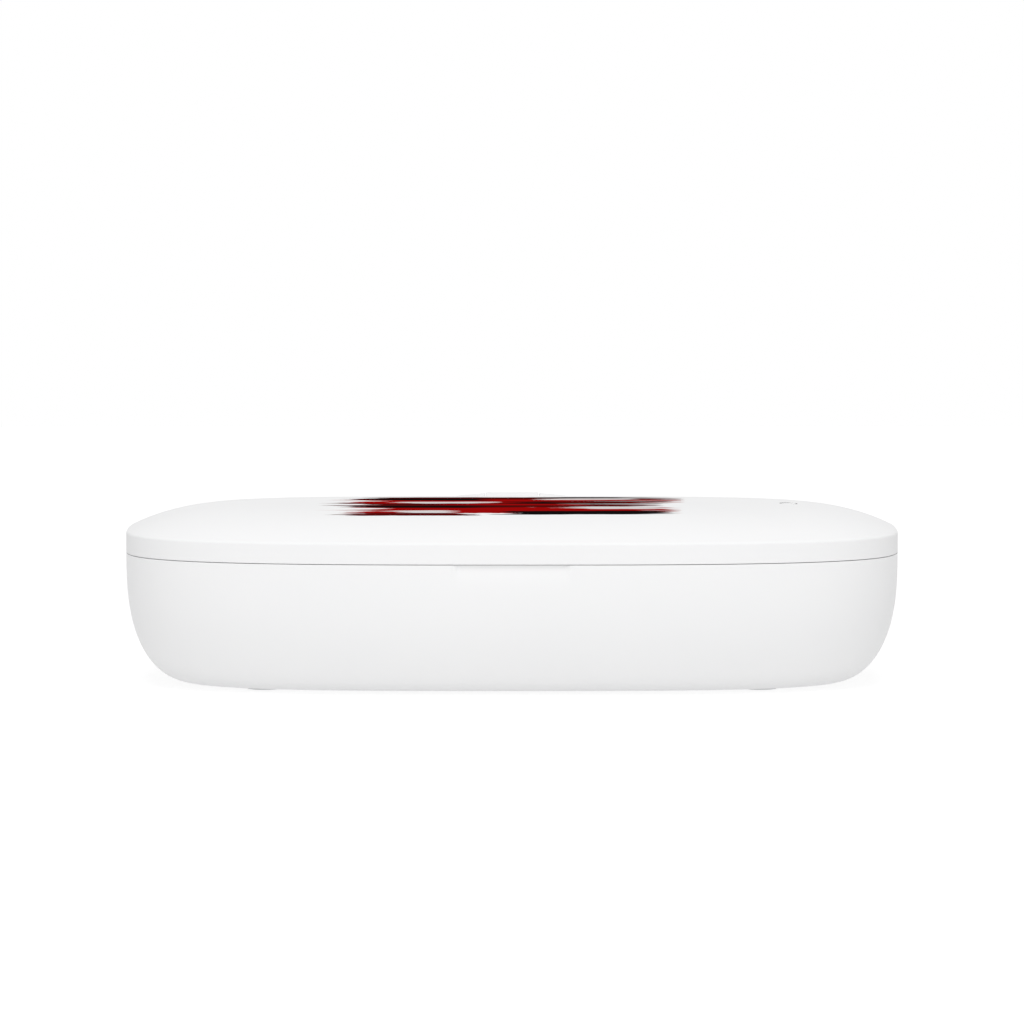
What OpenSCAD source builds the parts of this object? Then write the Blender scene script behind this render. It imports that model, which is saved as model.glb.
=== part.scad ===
// UV sanitizer box for phones: a hinged lid over a reflective chamber, ultraviolet lamps
// above and below the phone, a charging coil under the lid's top and a start button in it.
// Millimetres, +Z up, feet on Z = 0, front towards -Y, hinge towards +Y.

/* [Case] */
// Width of the case
width = 220; // [204:1:236]
// Depth of the case without its hinge
depth = 121; // [116:1:132]
// Exponent of the rounded outline, where 2 would be an ellipse
outline_power = 3.14; // [3:0.02:3.5]
// Thickness of both casings
wall = 2.2; // [1.9:0.1:2.6]
// Height of the base casing
base_h = 36.75; // [35:0.25:42]
// How far the base curves in towards its bottom
bottom_round = 18.4; // [15:0.4:20]
// Gap between the base and the lid
seam_gap = 0.3; // [0.2:0.05:0.5]

/* [Lid] */
// Height of the lid's upright side
lid_side_h = 5.75; // [5.5:0.25:8]
// Rise of the crown above the upright side
crown_h = 7.37; // [7:0.1:9]
// How far in from the edge the crown keeps rising
crown_w = 47; // [42:1:50]
// Width of the finger recess in the front
grip_w = 33; // [20:1:50]
// Depth of the finger recess
grip_d = 1.3; // [0.8:0.1:1.4]

/* [Chamber] */
// Width of the rim between the chamber and the ends of the case
end_rim = 17; // [16:0.5:20]
// Width of the rim between the chamber and the long sides
side_rim = 15; // [14:0.5:18]
// Thickness of the tray and the lid's liner
liner_t = 1.5; // [1.2:0.1:1.8]
// Height of the space for electronics under the tray
bay_h = 6.7; // [6.5:0.1:8]
// Depth of the hollow in the lid's liner
lid_hollow = 4.4; // [4.2:0.1:4.8]
// Height of the ribs that the phone lies on
rest_h = 3; // [2:0.2:6]

/* [Hinge] */
// Height of the hinge axis above the edge of the crown
hinge_up = 2; // [1.4:0.1:2.2]
// Radius of the hinge barrel
barrel_r = 4.2; // [4:0.1:4.5]
// Length of the hinge barrel
barrel_l = 15.3; // [14:0.1:18]
// Radius of the hinge pins
pin_r = 2; // [1.8:0.1:2.2]
// Length of each lid knuckle
knuckle_l = 7.6; // [7:0.2:9]

/* [Button and lamps] */
// Distance of the start button from the end of the case
button_in = 31; // [30:0.5:33]
// Radius of the start button
button_r = 2.3; // [2:0.1:2.6]
// Travel of the start button
button_travel = 0.4; // [0.2:0.05:0.5]
// Radius of the lamp windows
window_r = 6; // [5.6:0.1:6.2]

/* [Feet] */
// Radius of the rubber feet
foot_r = 5; // [4.5:0.1:6]
// How far the feet stand out below the case
foot_proud = 0.6; // [0.4:0.1:1]

/* [Hidden] */
$fn = 48;

// Clearances
fit = 0.05; // round parts that turn or sit in their holes
slack = 0.25; // loose parts next to a wall
show_gap = 0.2; // visible ring round the button
soft_gap = 0.3; // between a soft piece and what comes down on it
sink = 0.5; // how far a boss starts inside the wall it stands on
through = 20; // reach of a cut that passes right through
skip = 1; // how far a cut starts outside what it cuts

// Profile shapes, measured on the real outline
crown_power = 3.27;
bottom_power_in = 2.09;
bottom_power_up = 2.68;
grip_curve = 10; // radius of the finger recess, seen from the side
chamber_power = 5;
around = 96; // points round a casing
around_tray = 72; // points round the tray and the liner

// Heights
shell_z = foot_proud;
floor_z = shell_z + wall;
rim_z = shell_z + base_h;
lid_z = rim_z + seam_gap;
edge_z = lid_z + lid_side_h;
top_z = edge_z + crown_h;
tray_drop = 0.6;
tray_z = rim_z - tray_drop;
flange_t = 1.6;
chamber_under_z = floor_z + bay_h;
chamber_z = chamber_under_z + liner_t;
liner_z = lid_z + tray_drop;
ceiling_z = liner_z + lid_hollow;
liner_top_z = ceiling_z + liner_t;

// Chamber outline
chamber_a = width / 2 - end_rim;
chamber_b = depth / 2 - side_rim;
draft = 2.5;
corner_in = 5;
hollow_a = chamber_a - 3;
hollow_b = chamber_b - 3;
hollow_corner = 3;

// Hinge
hinge_y = depth / 2 - 0.5;
hinge_z = edge_z + hinge_up;
hinge_gap = 0.35;
knuckle_r = barrel_r - 0.7;
knuckle_x = barrel_l / 2 + 0.3;
knuckle_end = knuckle_x + knuckle_l;
taper_l = 3;
pin_inner_x = 2;
pin_end_x = knuckle_end - 0.7;
cable_turn_x = knuckle_end + 0.7;
cable_dive = 45;
cable_r = 0.7;
cable_bore_r = 1.3;
cable_y = hinge_y - 0.8;
notch_y = hinge_y - barrel_r - hinge_gap;
notch_x = barrel_l / 2 + hinge_gap;
pocket_t = 1.6;
pocket_gap = pocket_t + 0.3;
tower_z = rim_z - 7.35;
cable_exit_z = tower_z + 3;
tower_back = 2.2;
pad_t = 2.3;
plate_t = 2.2;
plate_w = 30;
plate_h = 11;
plate_z = tower_z - 7;
bracket_screw_x = 11.5;
bracket_screw_z = tower_z - 1.5;
bracket_screw_r = 1;
centre_y = (hinge_y + barrel_r - depth / 2) / 2;

// Fixings
foot_end = 40;
foot_side = 32.5;
foot_x = width / 2 - foot_end;
foot_y = depth / 2 - foot_side;
foot_sink = 0.6;
foot_t = foot_sink + foot_proud;
case_screw_r = 1.3;
case_screw_head_r = 2.5;
case_screw_head_h = 1.6;
case_screw_l = 6;
pad_r = 5;
boss_r = 3.2;
pad_top_z = floor_z + 1.8;

// Chamber floor
reflector_t = 0.4;
rest_w = 2.4;
rest_l = 56;
rest_pitch = 24;
rest_top_z = chamber_z + reflector_t + rest_h;

// Main board
board_t = 1.2;
standoff_h = 1.6;
standoff_r = 2.4;
board_z = floor_z + standoff_h;
board_top_z = board_z + board_t;
board_end = 20;
board_l = 2 * (foot_x - board_end);
board_w = 60;
board_hole_x = board_l / 2 - 4;
board_hole_y = board_w / 2 - 4;
small_screw_r = 0.9;
chip_s = 9;
chip_t = 1;
leg_l = 1.4;
leg_w = 0.4;
leg_pitch = 1.1;
inductor_s = 8;
inductor_h = 2.8;
capacitor_l = 3.2;
capacitor_w = 1.8;
capacitor_h = 1.4;
capacitor_pitch = 7;
plug_l = 5;
plug_w = 3.4;
plug_h = 2.2;
plug_z = board_top_z + plug_h / 2;
side_plug_x = board_l / 2 - 3;
rear_plug_y = board_w / 2 - 3;
rear_plug_x = 14;
sensor_plug_x = 24;

// Lamps
window_t = 1;
window_lap = 0.6;
lamp_hole_r = window_r - 1.4;
lamp_gap = 0.2;
led_s = 3.5;
led_h = 1.2;
lamp_ring_r = window_r + 1.3;
lamp_board_drop = lamp_gap + led_h;
lamp_in = 8;
lamp_x = foot_x - lamp_in;
lid_lamp_y = 20;
lamp_board_s = 16;
lid_lamp_board_w = 14;

// Rear socket
usb_w = 8.94;
usb_h = 3.16;
usb_l = 7.3;
usb_wall = 0.3;
usb_board_t = 1;
usb_board_z = floor_z + 10.5;
usb_z = usb_board_z + usb_board_t + usb_h / 2;
usb_board_w = 18;
usb_board_l = 6.6;
usb_post_r = 2;
usb_post_x = usb_board_w / 2 - 2.5;
usb_post_in = 4;
usb_post_z = floor_z + 2.6;
usb_mouth_in = 0.3;
usb_hole_gap = 0.2;
tongue_w = 6.6;
tongue_t = 0.7;
tongue_root = 0.8;

// Magnets, seal and bumpers
magnet_r = 2.7;
magnet_boss_r = magnet_r + 1;
magnet_h = 2.4;
magnet_skin = 0.4;
magnet_lip = 0.4;
magnet_x = 40;
magnet_side = 8;
magnet_y = magnet_side - depth / 2;
sensor_x = magnet_x + 8;
sensor_y = magnet_y + 2.5;
sensor_l = 4;
sensor_w = 3;
sensor_t = 1.6;
seal_w = 2.4;
seal_in = 1.6;
seal_power = 4.6;
seal_sink = 0.6;
bumper_r = 2;
bumper_sink = 0.8;
bumper_x = foot_x;

// Lid fixings
lid_screw_r = 1.2;
lid_screw_l = 6;
lid_boss_r = 2.8;
lid_screw_end_x = width / 2 - wall - (end_rim + 1) / 2;
lid_screw_end = 48;
lid_screw_x = width / 2 - lid_screw_end;
lid_screw_y = (hollow_b + edge_y(lid_screw_x, wall + slack)) / 2 - 0.6;
csk_r = 2.3;
csk_h = 1.1;

// Charging
coil_r = 22;
coil_hole_r = 10;
coil_t = 1.6;
ferrite_t = 0.8;
coil_top_z = top_z - wall - 0.2;
ferrite_r = coil_r + 1.5;
carrier_r = ferrite_r + 1.5;
carrier_rim = 1;
charger_gap = 1.5;
charger_l = lamp_x - lamp_ring_r - carrier_r - 2 * charger_gap;
charger_w = 32;
charger_x = -(carrier_r + charger_gap + charger_l / 2);
thin_board_t = 0.8;
board_lift = 0.6;
button_board_lift = 0.3;
peg_r = 1;

// Button
button_x = width / 2 - button_in;
button_z = crown_z(button_x, 0);
button_skin = wall + 0.25;
button_flange_r = button_r + 0.9;
button_flange_t = 0.8;
button_flange_z = button_z - button_skin - button_flange_t;
switch_top_z = button_flange_z - button_travel - 0.15;
switch_h = switch_top_z - liner_top_z - button_board_lift - thin_board_t;
switch_s = 6;
plunger_r = 1.6;
button_board_w = 13;
button_board_l = 16;
plunger_sink = 0.8;
press_gap = 0.05; // between the button and the switch's plunger and body

// Half depth of the outline at x, the given distance in from the edge
function edge_y(x, inset) =
    (depth / 2 - inset) * pow(1 - pow(abs(x) / (width / 2 - inset), outline_power), 1 / outline_power);

// Share of the crown's width at which the point (x, y) lies
function crown_share(x, y, low = 0, high = 1, step = 0) =
    let (mid = (low + high) / 2, inset = mid * crown_w)
    let (reach = pow(abs(x) / (width / 2 - inset), outline_power)
               + pow(abs(y) / (depth / 2 - inset), outline_power))
    step > 16 ? mid :
    reach < 1 ? crown_share(x, y, mid, high, step + 1) : crown_share(x, y, low, mid, step + 1);

// Height of the crown at a share of its width, and at a point
function crown_rise(share) = crown_h * (1 - pow(1 - share, crown_power));
function crown_z(x, y) = edge_z + crown_rise(crown_share(x, y));

// How far the base's outer face has curved in at a height above its bottom, of a total height
function curve_in(up, total) =
    bottom_round * (1 - pow(cos(asin(pow(1 - up / total, bottom_power_up / 2))), 2 / bottom_power_in));
function outer_in(z) = curve_in(z - shell_z, base_h);
function inner_in(z) = wall + curve_in(z - floor_z, base_h - wall);

// One closed ring of points: a rounded outline of half sizes a and b at height z
function ring(a, b, power, z, count) = [
    for (i = [0 : count - 1])
        let (c = cos(360 * i / count), s = sin(360 * i / count))
        [a * sign(c) * pow(abs(c), 2 / power), b * sign(s) * pow(abs(s), 2 / power), z]
];

function flat_ring(a, b, power, count) = [for (p = ring(a, b, power, 0, count)) [p[0], p[1]]];

// A closed skin through rings of points, with a flat end on the first and the last ring
module skin(rings) {
    count = len(rings[0]);
    last = len(rings) - 1;
    centres = [[0, 0, rings[0][0][2]], [0, 0, rings[last][0][2]]];
    points = concat([for (r = rings) each r], centres);
    start = len(rings) * count;
    sides = [
        for (k = [0 : last - 1], i = [0 : count - 1])
            let (a = k * count + i, b = k * count + (i + 1) % count)
            each [[a, a + count, b + count], [a, b + count, b]]
    ];
    ends = [
        for (i = [0 : count - 1])
            each [[start, i, (i + 1) % count],
                  [start + 1, last * count + (i + 1) % count, last * count + i]]
    ];
    polyhedron(points, concat(sides, ends), convexity = 8);
}

// A round tube along a list of points
module cord(points, r) {
    sides = 8;
    last = len(points) - 1;
    rings = [
        for (i = [0 : last])
            let (way = points[min(i + 1, last)] - points[max(i - 1, 0)], along = way / norm(way))
            let (up = abs(along[2]) > 0.8 ? [0, 1, 0] : [0, 0, 1], across = cross(along, up))
            let (side = across / norm(across), top = cross(side, along))
            [for (k = [0 : sides - 1])
                points[i] + r * (cos(360 * k / sides) * side + sin(360 * k / sides) * top)]
    ];
    body = [
        for (k = [0 : last - 1], i = [0 : sides - 1])
            let (a = k * sides + i, b = k * sides + (i + 1) % sides)
            each [[a, b, b + sides], [a, b + sides, a + sides]]
    ];
    ends = [
        for (i = [1 : sides - 2])
            each [[0, i + 1, i], [last * sides, last * sides + i, last * sides + i + 1]]
    ];
    polyhedron([for (r = rings) each r], concat(body, ends), convexity = 4);
}

// Places every piece so that the plan centre of the whole box, hinge included, is the origin
module centred() {
    translate([0, -centre_y, 0]) children();
}

// Copies at both sides, and at all four corners
module both_sides(x) {
    for (s = [-1, 1]) translate([s * x, 0, 0]) children();
}

module four_corners(x, y) {
    for (sx = [-1, 1], sy = [-1, 1]) translate([sx * x, sy * y, 0]) children();
}

// A board with its lowest corner height at z
module board(size_x, size_y, t, z) {
    translate([-size_x / 2, -size_y / 2, z]) cube([size_x, size_y, t]);
}

// A pan head screw whose head rests on z = 0 and points down
module pan_screw(r, length, head_r, head_h) {
    difference() {
        union() {
            cylinder(r = head_r, h = head_h);
            translate([0, 0, -length]) cylinder(r = r, h = length + head_h / 2);
        }
        for (turn = [0, 90])
            rotate([0, 0, turn])
                translate([-head_r * 0.55, -head_r * 0.11, head_h * 0.5])
                    cube([head_r * 1.1, head_r * 0.22, head_h]);
    }
}

// A countersunk screw whose head is flush with z = 0 and points up
module flush_screw(r, length) {
    difference() {
        union() {
            cylinder(r1 = csk_r, r2 = r, h = csk_h);
            cylinder(r = r, h = length);
        }
        for (turn = [0, 90])
            rotate([0, 0, turn])
                translate([-csk_r * 0.5, -csk_r * 0.1, -1])
                    cube([csk_r, csk_r * 0.2, 1.6]);
    }
}

module lamp_places() {
    both_sides(lamp_x) children();
}

module lid_lamp_places() {
    for (sx = [-1, 1], sy = [-1, 1]) translate([sx * lamp_x, sy * lid_lamp_y, 0]) children();
}

module lid_screw_places() {
    for (s = [-1, 1]) translate([s * lid_screw_end_x, 0, 0]) children();
    four_corners(lid_screw_x, lid_screw_y) children();
}

module bumper_places() {
    seal_a = chamber_a + seal_in + seal_w;
    seal_b = chamber_b + seal_in + seal_w;
    seal_y = seal_b * pow(1 - pow(bumper_x / seal_a, seal_power), 1 / seal_power);
    both_sides((seal_a + width / 2 - wall) / 2) children();
    translate([0, -(seal_y + edge_y(bumper_x, wall + slack)) / 2, 0]) both_sides(bumper_x) children();
}

// ---- Base ----

module base_skin() {
    down = 11;
    up = 9;
    outer = [
        for (k = [down : -1 : 0])
            let (turn = 90 * k / down)
            let (inset = bottom_round * (1 - pow(cos(turn), 2 / bottom_power_in)))
            let (z = shell_z + base_h * (1 - pow(sin(turn), 2 / bottom_power_up)))
            ring(width / 2 - inset, depth / 2 - inset, outline_power, z, around)
    ];
    inner = [
        for (k = [0 : up])
            let (turn = 90 * k / up)
            let (inset = wall + bottom_round * (1 - pow(cos(turn), 2 / bottom_power_in)))
            let (z = floor_z + (base_h - wall) * (1 - pow(sin(turn), 2 / bottom_power_up)))
            ring(width / 2 - inset, depth / 2 - inset, outline_power, z, around)
    ];
    skin(concat(outer, inner));
}

module base_shell() {
    color("white") centred() difference() {
        union() {
            base_skin();
            four_corners(foot_x, foot_y) translate([0, 0, floor_z - wall / 2])
                cylinder(r = pad_r, h = pad_top_z - floor_z + wall / 2);
            four_corners(board_hole_x, board_hole_y) translate([0, 0, floor_z - wall / 2])
                cylinder(r = standoff_r, h = standoff_h + wall / 2);
            both_sides(usb_post_x) translate([0, usb_board_back() - usb_post_in, usb_post_z])
                cylinder(r = usb_post_r, h = usb_board_z - usb_post_z);
            hinge_pad();
        }
        four_corners(foot_x, foot_y) foot_cut();
        four_corners(board_hole_x, board_hole_y) translate([0, 0, floor_z])
            cylinder(r = small_screw_r + fit, h = standoff_h + skip);
        translate([-grip_w / 2, grip_d - depth / 2 - grip_curve, rim_z]) rotate([0, 90, 0])
            cylinder(r = grip_curve, h = grip_w, $fn = 96);
        usb_cut();
        translate([-notch_x, hinge_pad_y() - skip, tower_z - 0.1])
            cube([2 * notch_x, through, rim_z]);
        both_sides(bracket_screw_x) translate([0, hinge_pad_y() - skip, bracket_screw_z])
            rotate([-90, 0, 0]) cylinder(r = bracket_screw_r + fit / 2, h = skip + pad_t + 1);
    }
}

// Where the inner rear wall's pad begins, the socket's board ends and the socket's mouth lies
function hinge_pad_y() = depth / 2 - wall - pad_t;
function usb_board_back() = depth / 2 - inner_in(usb_board_z) - 0.4;
function usb_mouth() = depth / 2 - outer_in(usb_z - usb_h / 2) - usb_mouth_in;

module hinge_pad() {
    translate([-plate_w / 2 - 1, hinge_pad_y(), plate_z - 1])
        cube([plate_w + 2, pad_t + wall * 0.4, tray_z - flange_t - soft_gap - plate_z + 1]);
}

module foot_cut() {
    seat = foot_sink + shell_z;
    translate([0, 0, shell_z - skip]) cylinder(r = foot_r + 2 * fit, h = foot_sink + skip);
    translate([0, 0, seat - sink])
        cylinder(r = case_screw_head_r + 4 * fit, h = case_screw_head_h + sink + 2 * fit);
    translate([0, 0, seat]) cylinder(r = case_screw_r + 3 * fit, h = pad_top_z);
}

module usb_slot(w, h, length) {
    rotate([90, 0, 0]) linear_extrude(length, center = true) {
        square([w - h, h], center = true);
        both_sides((w - h) / 2) circle(d = h);
    }
}

module usb_cut() {
    translate([0, depth / 2, usb_z])
        usb_slot(usb_w + 2 * usb_hole_gap, usb_h + 2 * usb_hole_gap, through);
}

module chamber_tray() {
    outer_a = width / 2 - wall - slack;
    outer_b = depth / 2 - wall - slack;
    steps = 4;
    // Rings of the tub, from its floor to the top of its wall, with the wall moved out by grow
    function tub(floor_at, top_at, grow, radius) = concat(
        [for (k = [0 : steps])
            let (turn = 90 * k / steps, inset = draft + radius * (1 - sin(turn)) - grow)
            ring(chamber_a - inset, chamber_b - inset, chamber_power,
                 floor_at + radius * (1 - cos(turn)), around_tray)],
        [ring(chamber_a + grow, chamber_b + grow, chamber_power, top_at, around_tray)]
    );
    under = tub(chamber_under_z, tray_z - flange_t, liner_t, corner_in + liner_t);
    flange = [
        ring(outer_a, outer_b, outline_power, tray_z - flange_t, around_tray),
        ring(outer_a, outer_b, outline_power, tray_z, around_tray)
    ];
    inside = tub(chamber_z, tray_z, 0, corner_in);
    upwards = [for (k = [len(inside) - 1 : -1 : 0]) inside[k]];
    color("silver") centred() difference() {
        union() {
            skin(concat(under, flange, upwards));
            four_corners(foot_x, foot_y) translate([0, 0, pad_top_z + fit])
                cylinder(r = boss_r, h = chamber_under_z - pad_top_z + sink);
            lamp_places() translate([0, 0, chamber_under_z - lamp_board_drop])
                cylinder(r = lamp_ring_r, h = lamp_board_drop + sink);
            both_sides(magnet_x) translate([0, magnet_y, tray_z - magnet_skin - magnet_h - magnet_lip])
                cylinder(r = magnet_boss_r, h = magnet_h + magnet_lip);
        }
        four_corners(foot_x, foot_y) translate([0, 0, pad_top_z])
            cylinder(r = case_screw_r + fit / 2, h = chamber_under_z - pad_top_z - 0.2);
        lamp_places() translate([0, 0, chamber_z - window_t])
            cylinder(r = window_r + fit, h = window_t + skip);
        lamp_places() translate([0, 0, chamber_under_z - lamp_board_drop - skip])
            cylinder(r = lamp_hole_r, h = lamp_board_drop + liner_t + skip);
        both_sides(magnet_x) translate([0, magnet_y, tray_z - magnet_skin - magnet_h - skip])
            cylinder(r = magnet_r + fit, h = magnet_h + skip);
        seal_groove();
        bumper_places() translate([0, 0, tray_z - bumper_sink])
            cylinder(r = bumper_r + fit, h = through);
        translate([-notch_x, notch_y, tray_z - flange_t - skip])
            cube([2 * notch_x, through, through]);
    }
}

module seal_outline(grow) {
    polygon(flat_ring(chamber_a + seal_in + grow, chamber_b + seal_in + grow, seal_power, around_tray));
}

module seal_groove() {
    translate([0, 0, tray_z - seal_sink]) linear_extrude(seal_sink + skip) difference() {
        seal_outline(seal_w + fit);
        seal_outline(-fit);
    }
}

module chamber_seal() {
    color("lightgray") centred() translate([0, 0, tray_z - seal_sink])
        linear_extrude(seal_sink + liner_z - tray_z - soft_gap) difference() {
            seal_outline(seal_w);
            seal_outline(0);
        }
}

module reflector_plate() {
    plate_in = draft + corner_in + 1;
    slot_w = rest_w + 4 * fit;
    slot_l = rest_l + 4 * fit;
    color("gainsboro") centred() difference() {
        translate([0, 0, chamber_z]) linear_extrude(reflector_t)
            polygon(flat_ring(chamber_a - plate_in, chamber_b - plate_in, chamber_power, around_tray));
        lamp_places() translate([0, 0, chamber_z - skip]) cylinder(r = window_r - window_lap, h = through);
        rest_places() translate([-slot_w / 2, -slot_l / 2, chamber_z - skip])
            cube([slot_w, slot_l, through]);
    }
}

module rest_places() {
    for (k = [-1.5 : 1.5]) translate([k * rest_pitch, 0, 0]) children();
}

module phone_rests() {
    color("whitesmoke") centred() rest_places() {
        translate([-rest_w / 2, -rest_l / 2, chamber_z])
            cube([rest_w, rest_l, rest_top_z - rest_w / 2 - chamber_z]);
        translate([0, rest_l / 2, rest_top_z - rest_w / 2]) rotate([90, 0, 0])
            cylinder(d = rest_w, h = rest_l);
    }
}

module floor_windows() {
    color("lightcyan") centred() lamp_places()
        translate([0, 0, chamber_z - window_t]) cylinder(r = window_r, h = window_t);
}

module led() {
    difference() {
        translate([-led_s / 2, -led_s / 2, 0]) cube([led_s, led_s, led_h]);
        translate([0, 0, led_h * 0.6]) cylinder(r = led_s * 0.36, h = led_h);
    }
}

module floor_leds() {
    color("gold") centred() lamp_places()
        translate([0, 0, chamber_under_z - lamp_board_drop]) led();
}

module floor_led_boards() {
    color("white") centred() lamp_places()
        board(lamp_board_s, lamp_board_s, board_t, chamber_under_z - lamp_board_drop - board_t);
}

module main_board() {
    color("darkgreen") centred() difference() {
        board(board_l, board_w, board_t, board_z);
        four_corners(board_hole_x, board_hole_y) translate([0, 0, board_z - skip])
            cylinder(r = small_screw_r + 4 * fit, h = through);
    }
}

module board_screws() {
    color("silver") centred() four_corners(board_hole_x, board_hole_y)
        translate([0, 0, board_top_z])
            pan_screw(small_screw_r, board_t + standoff_h - 0.2, 2 * small_screw_r, 1.2 * small_screw_r);
}

module controller_chip() {
    color("dimgray") centred() translate([-board_l * 0.06, -board_w * 0.13, 0]) {
        board(chip_s, chip_s, chip_t, board_top_z + 0.1);
        for (turn = [0 : 90 : 270], k = [-3 : 3]) rotate([0, 0, turn])
            translate([chip_s / 2 + leg_l * 0.35, k * leg_pitch, 0])
                board(leg_l, leg_w, chip_t / 2, board_top_z);
    }
}

module power_inductor() {
    color("gray") centred() translate([board_l * 0.16, -board_w * 0.13, board_top_z]) difference() {
        board(inductor_s, inductor_s, inductor_h, 0);
        translate([0, 0, inductor_h * 0.85]) cylinder(r = inductor_s * 0.32, h = inductor_h);
    }
}

module capacitors() {
    color("tan") centred() for (k = [-3 : 2])
        translate([k * capacitor_pitch, board_w * 0.13, 0])
            board(capacitor_l, capacitor_w, capacitor_h, board_top_z);
}

module board_connectors() {
    color("ivory") centred() {
        both_sides(side_plug_x) board(plug_w, plug_l, plug_h, board_top_z);
        both_sides(rear_plug_x) translate([0, rear_plug_y, 0]) board(plug_l, plug_w, plug_h, board_top_z);
        translate([sensor_plug_x, -rear_plug_y, 0]) board(plug_l, plug_w, plug_h, board_top_z);
    }
}

module usb_board() {
    back = usb_board_back();
    color("darkgreen") centred() translate([-usb_board_w / 2, back - usb_board_l, usb_board_z])
        cube([usb_board_w, usb_board_l, usb_board_t]);
}

module usb_c_port() {
    color("silver") centred() translate([0, usb_mouth() - usb_l / 2, usb_z]) difference() {
        usb_slot(usb_w, usb_h, usb_l);
        translate([0, tongue_root, 0]) usb_slot(usb_w - 2 * usb_wall, usb_h - 2 * usb_wall, usb_l);
    }
}

module usb_c_tongue() {
    color("dimgray") centred() translate([0, usb_mouth() - usb_l + tongue_root, usb_z]) {
        translate([-tongue_w / 2, 0, -tongue_t / 2]) cube([tongue_w, usb_l - 2 * tongue_root, tongue_t]);
        translate([-tongue_w * 0.54, 0, -tongue_t * 1.3]) cube([tongue_w * 1.08, tongue_t, tongue_t * 2.6]);
    }
}

module rim_bumpers() {
    color("darkgray") centred() bumper_places() translate([0, 0, tray_z - bumper_sink])
        cylinder(r = bumper_r, h = bumper_sink + liner_z - tray_z - 2 * fit);
}

module base_magnets() {
    color("silver") centred() both_sides(magnet_x)
        translate([0, magnet_y, tray_z - magnet_skin - magnet_h]) cylinder(r = magnet_r, h = magnet_h);
}

module hall_sensor() {
    color("dimgray") centred() translate([sensor_x, sensor_y, 0])
        board(sensor_l, sensor_w, sensor_t, tray_z - flange_t - sensor_t);
}

module rubber_feet() {
    color("dimgray") centred() four_corners(foot_x, foot_y) cylinder(r = foot_r, h = foot_t);
}

module base_screws() {
    head_z = foot_t + case_screw_head_h + 2 * fit;
    color("silver") centred() four_corners(foot_x, foot_y) translate([0, 0, head_z])
        mirror([0, 0, 1])
            pan_screw(case_screw_r, case_screw_l, case_screw_head_r, case_screw_head_h);
}

module hinge_bracket() {
    plate_y = hinge_pad_y() - plate_t;
    back = hinge_y + tower_back;
    front = hinge_y - barrel_r;
    color("white") centred() difference() {
        union() {
            translate([-barrel_l / 2, 0, 0]) rotate([90, 0, 90]) linear_extrude(barrel_l)
                polygon([[plate_y, tower_z], [hinge_y + 0.4, tower_z], [back, tower_z + 2 * tower_back],
                         [back, hinge_z], [front, hinge_z], [front, rim_z - 4], [plate_y, rim_z - 7]]);
            translate([-barrel_l / 2, hinge_y, hinge_z]) rotate([0, 90, 0])
                cylinder(r = barrel_r, h = barrel_l);
            translate([-plate_w / 2, plate_y, plate_z]) cube([plate_w, plate_t, plate_h]);
        }
        translate([-barrel_l, hinge_y, hinge_z]) rotate([0, 90, 0])
            cylinder(r = pin_r + fit, h = 2 * barrel_l);
        translate([0, cable_y, cable_exit_z]) cylinder(r = cable_bore_r, h = hinge_z - cable_exit_z);
        translate([0, cable_y, cable_exit_z]) rotate([90, 0, 0]) cylinder(r = cable_bore_r, h = through);
        both_sides(bracket_screw_x) translate([0, plate_y - skip, bracket_screw_z]) rotate([-90, 0, 0])
            cylinder(r = bracket_screw_r + 4 * fit, h = plate_t + 2 * skip);
    }
}

module hinge_bracket_screws() {
    color("silver") centred() both_sides(bracket_screw_x)
        translate([0, hinge_pad_y() - plate_t, bracket_screw_z]) rotate([90, 0, 0])
            pan_screw(bracket_screw_r, plate_t + pad_t, 1.9 * bracket_screw_r, 1.2 * bracket_screw_r);
}

module base_cable() {
    bay_y = hinge_pad_y() - plate_t - 2.2;
    color("black") centred() cord([
        [pin_inner_x, hinge_y, hinge_z],
        [pin_inner_x - 0.6, hinge_y, hinge_z],
        [0.6, hinge_y - 0.3, hinge_z - 0.3],
        [0.1, cable_y + 0.1, hinge_z - 1.1],
        [0, cable_y, hinge_z - 2.4],
        [0, cable_y, cable_exit_z + 1],
        [0, cable_y - 0.9, cable_exit_z],
        [0, bay_y + 1, cable_exit_z],
        [2, bay_y, cable_exit_z - 2],
        [rear_plug_x - 1, bay_y, 22],
        [rear_plug_x, chamber_b + 4, 14],
        [rear_plug_x, chamber_b + 1, 9.5],
        [rear_plug_x, chamber_b - 6, 7.2],
        [rear_plug_x, rear_plug_y + 6, plug_z],
        [rear_plug_x, rear_plug_y + plug_w / 2, plug_z]
    ], cable_r);
}

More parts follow.
